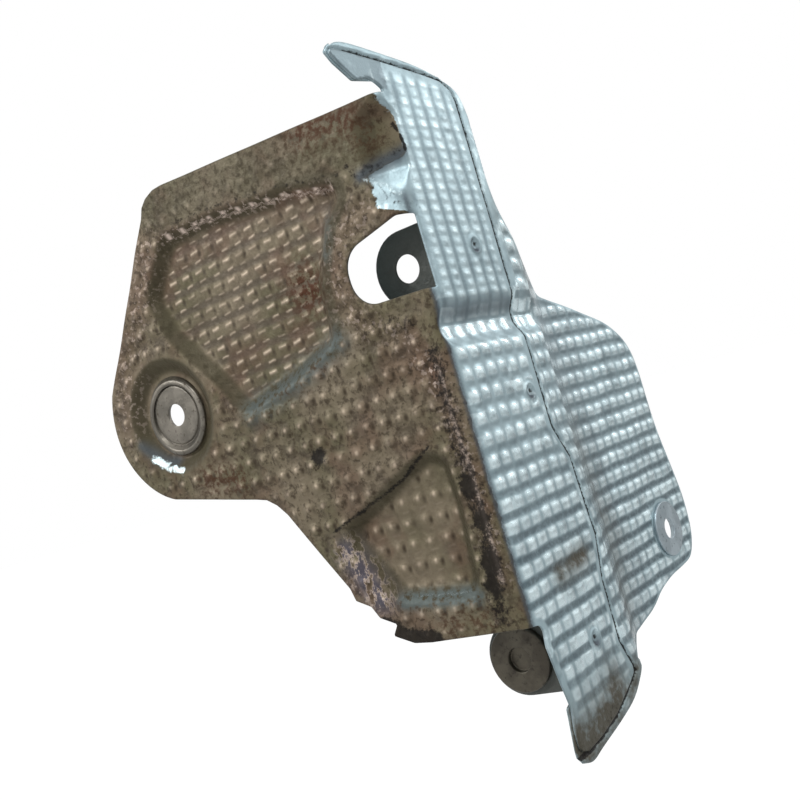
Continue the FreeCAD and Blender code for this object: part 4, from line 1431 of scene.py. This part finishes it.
@dataclass(frozen=True)
class SheetFinish:
    """Aluminium sheet, bright where it is clean and brown where soot and rust cover it, with
    painted highlights and painted shade on its dimples, walls and bends.
    """

    name: str
    metal: Colour = colour(163, 183, 189)
    # Painted highlights on the hills, strokes and marked spots, and bare metal.
    bright: Colour = colour(224, 242, 246)
    shade: Colour = colour(88, 104, 111)
    # Painted shade on the fold, ear, groove, gusset, clinches, rear wall and cut edges.
    fold: Colour = colour(74, 82, 89)
    soot: Colour = colour(124, 113, 94)
    olive: Colour = colour(101, 95, 73)
    # Mauve tint in clouds, and painted shade between the rows of dashes.
    mauve: Colour = colour(80, 71, 60)
    # Painted highlight of the dashes and dots.
    glint_tint: Colour = colour(210, 192, 170)
    # Dark dirt, and painted shade in the pits.
    dark: Colour = colour(52, 42, 30)
    # Painted shade on the pocket and bowl walls, also darkening the plain border.
    wall: Colour = colour(66, 61, 44)
    # Pale pink of worn edges, and painted pink highlights.
    pink_wear_and_glint: Colour = colour(206, 188, 175)
    red: Colour = colour(102, 78, 64)
    worn: Colour = colour(82, 78, 86)
    rust: Colour = colour(72, 42, 23)
    black: Colour = colour(22, 18, 14)
    steel: Colour = colour(88, 97, 95)
    lug: Colour = colour(82, 84, 80)
    haze: Colour = colour(74, 68, 54)

    def clean(self, p: Paint, cells: CellLook, speck: Socket, cloud: Socket) -> Socket:
        """Colour of clean sheet, with painted highlights on the hills and painted shade in the rows
        between them.

        Args:
            p: material that takes the nodes.
            cells: patterns of the embossing.
            speck: fine pattern.
            cloud: coarse pattern.

        Returns:
            The colour socket.
        """
        twin = p.mark("twin")
        uneven = p.step(cells.chance, 0.0, 0.6, 0.55, 1.0)
        # Painted highlights on the hills, uneven from cell to cell.
        lit = p.times(p.blend(twin, cells.block, cells.spots), uneven)
        # Painted shade in the rows between the hills.
        rows = p.times(cells.band, p.mark("band"), p.step(speck, 0.3, 0.6, 0.6, 1.0))
        hills = p.step(cells.band, 0.0, 0.6, 0.75, 0.05)
        # Painted sheen in patches on the hills.
        sheen_patches = p.times(p.step(p.noise(80, 4, 0.65), 0.55, 0.67), hills)
        return p.coats(
            self.metal,
            (p.times(lit, p.step(speck, 0.3, 0.55, 0.6, 1.0)), self.bright),
            # Painted shade between rows, or between columns where the rows are twinned.
            (p.blend(twin, rows, p.times(cells.post, 0.55)), self.shade),
            (p.step(cloud, 0.48, 0.7, 0.0, 0.4), self.shade),
            (p.times(sheen_patches, p.step(twin, 0.0, 1.0, 1.0, 0.2)), self.bright),
            (p.times(twin, 0.16), self.shade),
            (p.step(speck, 0.64, 0.8, 0.0, 0.35), self.dark))

    def sooty(self, p: Paint, cells: CellLook, speck: Socket, cloud: Socket) -> Socket:
        """Colour of the burnt face, with painted highlight dashes and dots, painted shade between
        rows and in pits, and dark blotches.

        Args:
            p: material that takes the nodes.
            cells: patterns of the embossing.
            speck: fine pattern.
            cloud: coarse pattern.

        Returns:
            The colour socket.
        """
        dash, mottle, rosy_and_glint, steel = (p.mark(name) for name in ("dash", "mottle", "rosy_and_glint", "steel"))
        blots = p.step(p.noise(250, 4, 0.68), 0.48, 0.64)
        # Painted highlights: a dash in each cell, and a dot where the dashes are weak.
        dots = p.times(cells.dot, p.math("SUBTRACT", 0.85, dash))
        light = p.math("MAXIMUM", p.times(cells.dash, dash), dots)
        flecks = p.times(p.step(p.noise(620, 2, 0.6), 0.54, 0.64), 0.6)
        # Painted pink highlights: beads along the brim and flecks where the rosy marks lie.
        beads = p.times(cells.bead, p.step(rosy_and_glint, 0.6, 0.95))
        rosy = p.times(rosy_and_glint, p.math("MAXIMUM", flecks, beads))
        plate = p.math("MINIMUM", p.times(steel, p.step(speck, 0.66, 0.45)), 0.92)
        rusty = p.times(p.mark("rust"), p.step(speck, 0.42, 0.56))
        return p.coats(
            self.soot,
            (p.step(p.noise(34, 2, 0.5), 0.38, 0.62), self.olive),
            # Painted shade between the rows of dashes.
            (p.times(cells.band, dash, 0.8), self.mauve),
            (p.times(rosy_and_glint, 0.65), self.red),
            (p.step(p.noise(58, 3, 0.6), 0.46, 0.66, 0.0, 0.55), self.red),
            (p.times(blots, mottle, 0.54), self.dark),
            (p.times(p.step(speck, 0.5, 0.64), mottle, 0.66), self.dark),
            (p.times(p.step(cloud, 0.5, 0.68), 0.35), self.mauve),
            # Painted shade in the pit beside each hill.
            (p.times(cells.pit, p.step(cells.other, 0.1, 0.7), 0.9), self.dark),
            # Painted highlight dashes and dots.
            (p.times(light, p.step(cells.chance, 0.0, 0.9, 0.25, 0.85)), self.glint_tint),
            # Painted shade on the walls of the pockets and the bowl.
            (p.times(p.mark("wall"), 0.8), self.wall),
            # Painted pink highlights.
            (p.math("MINIMUM", rosy, 0.95), self.pink_wear_and_glint),
            (plate, self.steel),
            # Painted highlight strokes on the steel patches.
            (p.times(cells.stroke, p.step(steel, 0.8, 1.3, 0.0, 0.9), plate), self.bright),
            (p.math("MINIMUM", rusty, 1.0), self.rust))

    def flaked(self, p: Paint, base: Socket) -> Socket:
        """Worn patches with pale edges, laid over a colour.

        Args:
            p: material that takes the nodes.
            base: colour underneath.

        Returns:
            The colour socket.
        """
        flake = p.noise(330, 4, 0.62, (1.0, 1.0, 0.6))
        worn = p.mark("worn")
        return p.coats(base, (p.times(worn, p.step(flake, 0.44, 0.5)), self.worn),
                       (p.times(worn, p.bell(flake, 0.465, 0.03), 0.6), self.pink_wear_and_glint))

    def make(self) -> bpy.types.Material:
        """The material.

        Returns:
            The material.
        """
        p = Paint(self.name)
        cells = CellLook(p)
        fine, speck, cloud = p.noise(1500, 4, 0.65), p.noise(520, 4, 0.62), p.noise(120, 3, 0.55)
        ragged = p.math("SUBTRACT", speck, 0.5)
        outer = p.step(p.mark("behind"), 0.35, 0.8, 1.0, 0.3)
        torn = p.math("ADD", p.times(ragged, 0.9), p.times(p.math("SUBTRACT", cloud, 0.5), 0.8))
        soot = p.step(p.math("ADD", p.times(p.mark("soot"), outer), torn), 0.4, 0.6)
        bright, burnt = (coat(p, cells, speck, cloud) for coat in (self.clean, self.sooty))
        # Painted shade on the cut edge of each sheet.
        edge = p.times(p.bell(p.mark("behind"), 0.5, 0.25), 0.45)
        patchy = p.times(p.step(cloud, 0.3, 0.65, 0.6, 1.0), p.step(speck, 0.3, 0.6, 0.75, 1.0))
        haze = p.times(p.mark("haze"), patchy)
        # Bare metal and painted highlights where the sheet is marked so.
        bare_and_glint = p.step(p.math("ADD", p.mark("bare_and_glint"), ragged), 0.4, 0.65)
        crumbs = p.math("ADD", p.times(ragged, 1.3), p.times(p.math("SUBTRACT", fine, 0.5), 0.9))
        # Grime, and painted shade in the seam, brims and clinch pits.
        grime_and_shade = p.step(p.math("ADD", p.mark("grime_and_shade"), crumbs), 0.3, 0.75)
        base = p.coats(
            self.flaked(p, p.mix(soot, bright, burnt)),
            # Painted shade on the fold, ear, groove, gusset, clinches, rear wall and cut edges.
            (p.math("MAXIMUM", p.times(p.mark("painted_shade"), 0.85), edge), self.fold),
            (p.math("MINIMUM", haze, 0.95), self.haze),
            # Bare metal and painted highlights.
            (bare_and_glint, self.bright),
            (p.mark("lug"), self.lug),
            # Grime, and painted shade.
            (p.times(grime_and_shade, 0.92), self.black))
        p.feed(p.shader.inputs["Base Color"], base)
        veil = p.math("MAXIMUM", p.mark("lug"), p.math("MINIMUM", p.times(haze, 0.7), 1.0))
        cover = p.math("MAXIMUM", p.math("SUBTRACT", soot, bare_and_glint), p.math("MAXIMUM", grime_and_shade, veil))
        p.feed(p.shader.inputs["Metallic"], p.blend(cover, 0.9, 0.28))
        p.feed(p.shader.inputs["Specular IOR Level"], p.blend(cover, 0.5, 0.2))
        plain = p.blend(cells.emboss, 0.5, p.step(fine, 0.3, 0.7, 0.3, 0.42))
        smooth = p.blend(cells.block, plain, p.step(p.mark("twin"), 0.0, 1.0, 0.22, 0.4))
        rough = p.blend(cover, smooth, p.step(speck, 0.3, 0.7, 0.4, 0.64))
        p.feed(p.shader.inputs["Roughness"], rough)
        dashes = p.times(cells.dash, p.mark("dash"))
        ridge = p.times(p.math("ADD", dashes, p.times(cells.dot, 0.4)), 0.5)
        grain = p.math("ADD", p.times(speck, p.blend(cover, 0.12, 0.7)), p.times(fine, 0.25))
        p.bump(p.math("ADD", grain, p.times(ridge, cover)), 0.00045, 0.7)
        return p.material


@dataclass(frozen=True)
class SteelFinish:
    """Pressed steel of an eyelet, dulled by heat and dirt."""

    name: str
    base: Colour
    worn: Colour
    dirt: Colour
    metallic: float = 0.85

    def make(self) -> bpy.types.Material:
        """The material.

        Returns:
            The material.
        """
        p = Paint(self.name)
        speck = p.noise(700, 4, 0.6)
        cloud = p.noise(160, 3, 0.5)
        base = p.mix(p.step(cloud, 0.4, 0.62), self.base, self.worn)
        base = p.mix(p.step(speck, 0.56, 0.7, 0.0, 0.7), base, self.dirt)
        p.feed(p.shader.inputs["Base Color"], base)
        p.shader.inputs["Metallic"].default_value = self.metallic
        p.feed(p.shader.inputs["Roughness"], p.step(speck, 0.3, 0.7, 0.34, 0.52))
        p.bump(speck, 0.0002, 0.5)
        return p.material


# Stage

@dataclass(frozen=True)
class Lamp:
    """A soft square lamp that looks at the part."""

    name: str
    place: Triple
    size: float
    power: float

    def build(self, target: Vector) -> None:
        """Adds the lamp to the scene."""
        data = bpy.data.lights.new(self.name, "AREA")
        data.size = self.size
        data.energy = self.power
        obj = new_object(self.name, data)
        obj.location = self.place
        obj.rotation_euler = (target - Vector(self.place)).to_track_quat("-Z", "Y").to_euler()


@dataclass(frozen=True)
class Studio:
    """Floor, light and camera."""

    floor_drop: float = 0.09
    floor_size: float = 12.0
    floor_tone: float = 0.9
    floor_glow: float = 0.85
    ambient: float = 0.4
    eye: Triple = (0.267226, -0.241511, -0.025897)
    turn: tuple[float, float, float, float] = (0.700537, 0.646581, 0.287705, 0.091694)
    lens: float = 49.7259
    shift: float = -0.14
    lamps: tuple[Lamp, ...] = (
        Lamp("key", (0.42, -0.34, 0.86), 0.22, 4.2),
        Lamp("glint", (-0.5, -0.6, 0.42), 0.16, 3.0),
        Lamp("side", (0.62, 0.72, 0.4), 0.26, 1.2))

    def build(self) -> None:
        """Adds everything that isn't part of the object."""
        low, high = CAD_BOX
        centre = (low + high) / 2
        for lamp in self.lamps:
            lamp.build(centre)
        self.floor(low.z - self.floor_drop)
        self.world()
        data = bpy.data.cameras.new("camera")
        data.lens = self.lens
        data.shift_x = self.shift
        data.clip_start = 0.01
        camera = new_object("camera", data)
        camera.location = self.eye
        camera.rotation_mode = "QUATERNION"
        camera.rotation_quaternion = Quaternion(self.turn)
        bpy.context.scene.camera = camera
        bpy.context.scene.view_settings.view_transform = "Standard"

    def seen(self, g: NodeGraph) -> Socket:
        """One for rays that show the backdrop itself, zero for rays that carry its light."""
        path = g.add("ShaderNodeLightPath")
        seen = g.math("MAXIMUM", path.outputs["Is Camera Ray"], path.outputs["Is Glossy Ray"])
        return g.math("MAXIMUM", seen, path.outputs["Is Transmission Ray"])

    def world(self) -> None:
        """White backdrop with an even soft light."""
        world = bpy.data.worlds.new("studio")
        world.use_nodes = True
        bpy.context.scene.world = world
        g = NodeGraph(world.node_tree)
        shader = world.node_tree.nodes["Background"]
        shader.inputs["Color"].default_value = (1, 1, 1, 1)
        strength = g.add("ShaderNodeMapRange", inputs={0: self.seen(g), 3: self.ambient, 4: 1.0})
        g.feed(shader.inputs["Strength"], strength.outputs[0])

    def floor(self, height: float) -> None:
        """Pale floor that takes a soft shadow.

        Args:
            height: height of the floor.
        """
        mesh = bpy.data.meshes.new("floor")
        corners = [(x * self.floor_size, y * self.floor_size, height)
                   for x, y in ((-1, -1), (1, -1), (1, 1), (-1, 1))]
        mesh.from_pydata(corners, [], [(0, 1, 2, 3)])
        obj = new_object("floor", mesh)
        paint, tone = Paint("floor"), self.floor_tone
        paint.shader.inputs["Base Color"].default_value = (tone, tone, tone, 1)
        paint.shader.inputs["Roughness"].default_value = 0.9
        path = paint.add("ShaderNodeLightPath")
        far = (1.0 - (1.0 - self.floor_glow) * tone * self.ambient) / self.floor_glow
        glow = paint.add("ShaderNodeEmission", inputs={"Color": (1, 1, 1, 1), "Strength": far})
        share = paint.math("MULTIPLY", path.outputs["Is Camera Ray"], self.floor_glow)
        mixed = paint.add("ShaderNodeMixShader", inputs={
            0: share, 1: paint.shader.outputs[0], 2: glow.outputs[0]})
        end = paint.tree.nodes["Material Output"]
        paint.feed(end.inputs["Surface"], mixed.outputs[0])
        mesh.materials.append(paint.material)


# The part

FACE_SPOTS = (
    Spot(Mark.RUST, ((63.6, 21.4),), 8, 1.1),
    Spot(Mark.RUST, ((95, 60), (80, 62)), 6, 0.8),
    Spot(Mark.RUST, ((20, -25), (8, -22)), 5, 0.7),
    Spot(Mark.GRIME_AND_SHADE, ((53.2, -25.2),), 3.4, 1.0),
    Spot(Mark.GRIME_AND_SHADE, ((102, -8), (101, -34), (101.5, -52), (101, -66), (98, -80)), 4.2, 0.62),
    Spot(Mark.GRIME_AND_SHADE, ((99.5, -44),), 2.5, 0.7),
    Spot(Mark.GRIME_AND_SHADE, ((101, -53),), 2.2, 0.6),
    Spot(Mark.GRIME_AND_SHADE, ((99.5, -65),), 2.6, 0.75),
    Spot(Mark.GRIME_AND_SHADE, ((98.5, -71),), 2.2, 0.6),
    # Painted shade along the brim of the lower pocket.
    Spot(Mark.GRIME_AND_SHADE, ((91, -31.2), (85, -34.1), (79.2, -37.7), (72.8, -40), (66.5, -42.2),
                      (50.4, -47.3)), 0.6, 0.8),
    Spot(Mark.GRIME_AND_SHADE, ((60, -77), (66, -81.5), (75, -83)), 3.0, 1.5),
    # Painted shade along the top brim of the upper pocket and at its corner.
    Spot(Mark.GRIME_AND_SHADE, ((18, 54.5), (40, 53.8), (68, 50.3), (88, 46.3)), 1.0, 0.42),
    Spot(Mark.GRIME_AND_SHADE, ((91.5, 47.5), (93, 44)), 1.2, 0.5),
    # Painted shade in the gusset's slit on the strip.
    Spot(Mark.GRIME_AND_SHADE, ((111.5, 50), (112, 46.5)), 0.7, 1.2),
    Spot(Mark.GRIME_AND_SHADE, ((109.5, 53.5), (110.5, 52)), 0.7, 1.1),
    Spot(Mark.GRIME_AND_SHADE, ((84, 4), (98, 2)), 3.0, 0.4),
    Spot(Mark.RUST, ((101, 52),), 5, 0.5),
    Spot(Mark.RUST, ((80, -79), (95, -80)), 4, 0.5),
    Spot(Mark.STEEL, ((71.5, 4), (54.5, -2), (33, -6.5)), 4.0, 0.85),
    Spot(Mark.STEEL, ((79, 37), (76, 28)), 2.6, 0.55),
    Spot(Mark.STEEL, ((68, -71), (93, -73)), 2.2, 1.4),
    # Rosy tint with painted pink highlights: beads on the top brim, flecks on the left border, by
    # the window and in the lower pocket.
    Spot(Mark.ROSY_AND_GLINT, ((18, 51.5), (40, 51), (68, 47.5), (84, 44)), 1.5, 1.1),
    Spot(Mark.ROSY_AND_GLINT, ((10, 52), (0, 37), (-12, 20), (-20, 2)), 6, 0.55),
    Spot(Mark.ROSY_AND_GLINT, ((92, 34), (79, 28), (77, 12), (84, 5)), 5, 0.5),
    Spot(Mark.ROSY_AND_GLINT, ((52, -62), (58, -72)), 3, 0.8),
    Spot(Mark.WORN, ((53, -54), (56, -60), (60.5, -69)), 4.2, 1.1),
    # Painted highlight on the bowl's lower brim, and painted shade beside it.
    Spot(Mark.BARE_AND_GLINT, ((-13.5, -11), (-7, -15.5), (-2, -17.5)), 1.8, 0.62),
    Spot(Mark.PAINTED_SHADE, ((-17, -6), (-10, -12.5), (-5, -14)), 1.8, 0.8),
    # Painted shade over the gusset's crease.
    Spot(Mark.PAINTED_SHADE, ((95, 43.2), (104, 45), (111, 46.2)), 1.9, 1.0),
    Spot(Mark.GRIME_AND_SHADE, ((96, 43.6), (104, 45), (110, 46)), 1.6, 0.4),
    Spot(Mark.GRIME_AND_SHADE, ((99, 40), (104, 33), (108, 31)), 3.5, 0.3),
    Spot(Mark.GRIME_AND_SHADE, ((108, 60), (108.5, 50)), 2.6, 0.3),
    # Bare metal with painted highlight along the strip by the gusset.
    Spot(Mark.BARE_AND_GLINT, ((109, 62), (110, 55), (112, 42), (111, 32)), 2.4, 0.36),
    # Painted shade on the groove's upper slope.
    Spot(Mark.PAINTED_SHADE, ((110, 1.5), (143, 1.5)), 2.8, 0.82),
    # Painted highlight along the gusset's crease.
    Spot(Mark.BARE_AND_GLINT, ((96.2, 42.4), (101.5, 38.6), (106, 35)), 2.0, 0.46),
    Spot(Mark.HAZE, ((109, -120), (122, -121), (137, -116)), 10.0, 1.4),
    Spot(Mark.GRIME_AND_SHADE, ((111, -121), (122, -120.5), (136, -116)), 3.0, 0.3),
    Spot(Mark.HAZE, ((108, -106), (109, -118)), 3.5, 0.8),
    # Painted shade in the groove's lower half, and streaks of painted shade in the gusset.
    Spot(Mark.PAINTED_SHADE, ((110, -5), (143, -5)), 2.4, 0.42),
    Spot(Mark.PAINTED_SHADE, ((99, 41.5), (108, 44)), 1.2, 0.4),
    Spot(Mark.PAINTED_SHADE, ((100, 35.5), (108, 33)), 1.6, 0.35),
    # Rosy tint with painted pink highlights along the fold.
    Spot(Mark.ROSY_AND_GLINT, ((100, -12), (102.5, -40), (102, -70)), 3.0, 0.85),
    Spot(Mark.ROSY_AND_GLINT, ((92, 0), (100, -14)), 4.0, 0.45),
    Spot(Mark.HAZE, ((126, -74.5), (141, -74)), 4.0, 1.1),
)
REAR_SPOTS = (
    Spot(Mark.HAZE, ((4, -116), (8, -124), (16, -122.5), (38, -118), (46, -112)), 4.5, 0.9),
    Spot(Mark.HAZE, ((60, -96), (66, -78), (62, -58), (58, -44)), 9, 0.5),
    Spot(Mark.HAZE, ((45, 30), (48, 16), (54, 8)), 6, 0.3),
    Spot(Mark.HAZE, ((6, -106), (4, -116)), 5, 1.2),
)


@dataclass
class HeatShield:
    """The whole part: two sheets and three eyelets."""

    embossing: Embossing = Embossing()
    clinches: tuple[Clinch, ...] = (
        Clinch((26, 19.3)), Clinch((32.4, -24.4)), Clinch((28, -96.2)))

    def __post_init__(self) -> None:
        """Sets the two sheets against each other."""
        self.front = FrontSheet(
            "front_sheet_formed", Slot.FRONT, clinches=self.clinches, spots=FACE_SPOTS)
        self.rear = RearSheet(
            "rear_sheet_formed", Slot.REAR, front=self.front, spots=REAR_SPOTS)

    def sheets(self) -> None:
        """Builds, embosses and dresses the two sheets."""
        tree = self.embossing.tree()
        for sheet, node in ((self.front, "front_shield"), (self.rear, "rear_shield")):
            obj = sheet.build()
            self.embossing.press(obj, tree, SheetFinish(sheet.name + "_finish").make())
            self.join(obj, node)

    def eyelets(self) -> None:
        """Builds and dresses the three eyelets."""
        grey = SteelFinish(
            "seat_steel", colour(104, 100, 92), colour(124, 119, 110), colour(58, 50, 40))
        blue = SteelFinish(
            "panel_steel", colour(150, 162, 168), colour(168, 180, 186), colour(92, 98, 100))
        black = SteelFinish(
            "lug_steel", colour(64, 59, 50), colour(84, 79, 68), colour(38, 33, 27), 0.6)
        stem = ((4.35, 0.0, 0.0), (4.35, -1.0, 0.0), (6.5, -1.0, 0.1), (6.5, -1.8, 0.3))
        flare = ((5.9, -1.8, 0.2), (4.15, -0.9, 0.3))
        cup = ((3.5, 0.4, 0.1), (3.5, 0.8, 0.15), (9.1, 0.8, 0.35), (9.4, 0.25, 0.15),
               (9.7, 0.25, 0.15), (10.3, 1.6, 0.5), (11.9, 1.5, 0.7), (12.2, 0.0, 0.1))
        thin = ((3.5, 0.5, 0.1), (3.5, 1.0, 0.3), (9.5, 1.0, 0.6), (9.5, 0.0, 0.1))
        blind = ((0.0, 0.2, 0.0), (3.5, 0.2, 0.3), (3.5, 1.7, 0.5), (9.5, 1.7, 0.7),
                 (9.5, 0.0, 0.1))
        rear, drop, slope = self.rear, self.rear.drop, self.rear.panel_slope()
        depth, height = rear.panel_eye
        seat = (0, self.front.bowl_depth + drop, 0)
        panel = (rear.valley_x + slope * (depth - rear.valley_y), depth + drop, height)
        lug = (self.front.fold_x - rear.lug_in, rear.lug_y + drop, rear.lower_lug_z)
        pieces = (
            (Eyelet("seat_eyelet_turned", "seat_eyelet", cup + stem + flare, seat, (0, -1, 0),
                    (0.4, 0, -0.8)), grey),
            (Eyelet("panel_eyelet_turned", "panel_eyelet", thin + stem + flare, panel,
                    (1, -slope, 0)), blue),
            (Eyelet("lug_eyelet_turned", "lug_eyelet", blind + stem + ((0.0, -1.8, 0.0),), lug,
                    (0, -1, 0)), black),
        )
        for eyelet, finish in pieces:
            self.join(eyelet.build(finish.make()), eyelet.node)

    def join(self, obj: bpy.types.Object, node: str) -> None:
        """Fixes a finished piece to the part in place of its plain solid.

        Args:
            obj: finished piece.
            node: name of the solid that it stands for.
        """
        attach(obj, "root")
        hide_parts(node)
        log.info("%s: %d faces", obj.name, len(obj.data.polygons))


def main() -> None:
    """Builds the part and its studio."""
    logging.basicConfig(level=logging.INFO, format="%(name)s %(message)s")
    part = HeatShield()
    part.sheets()
    part.eyelets()
    Studio().build()


if __name__ == "__main__":
    main()
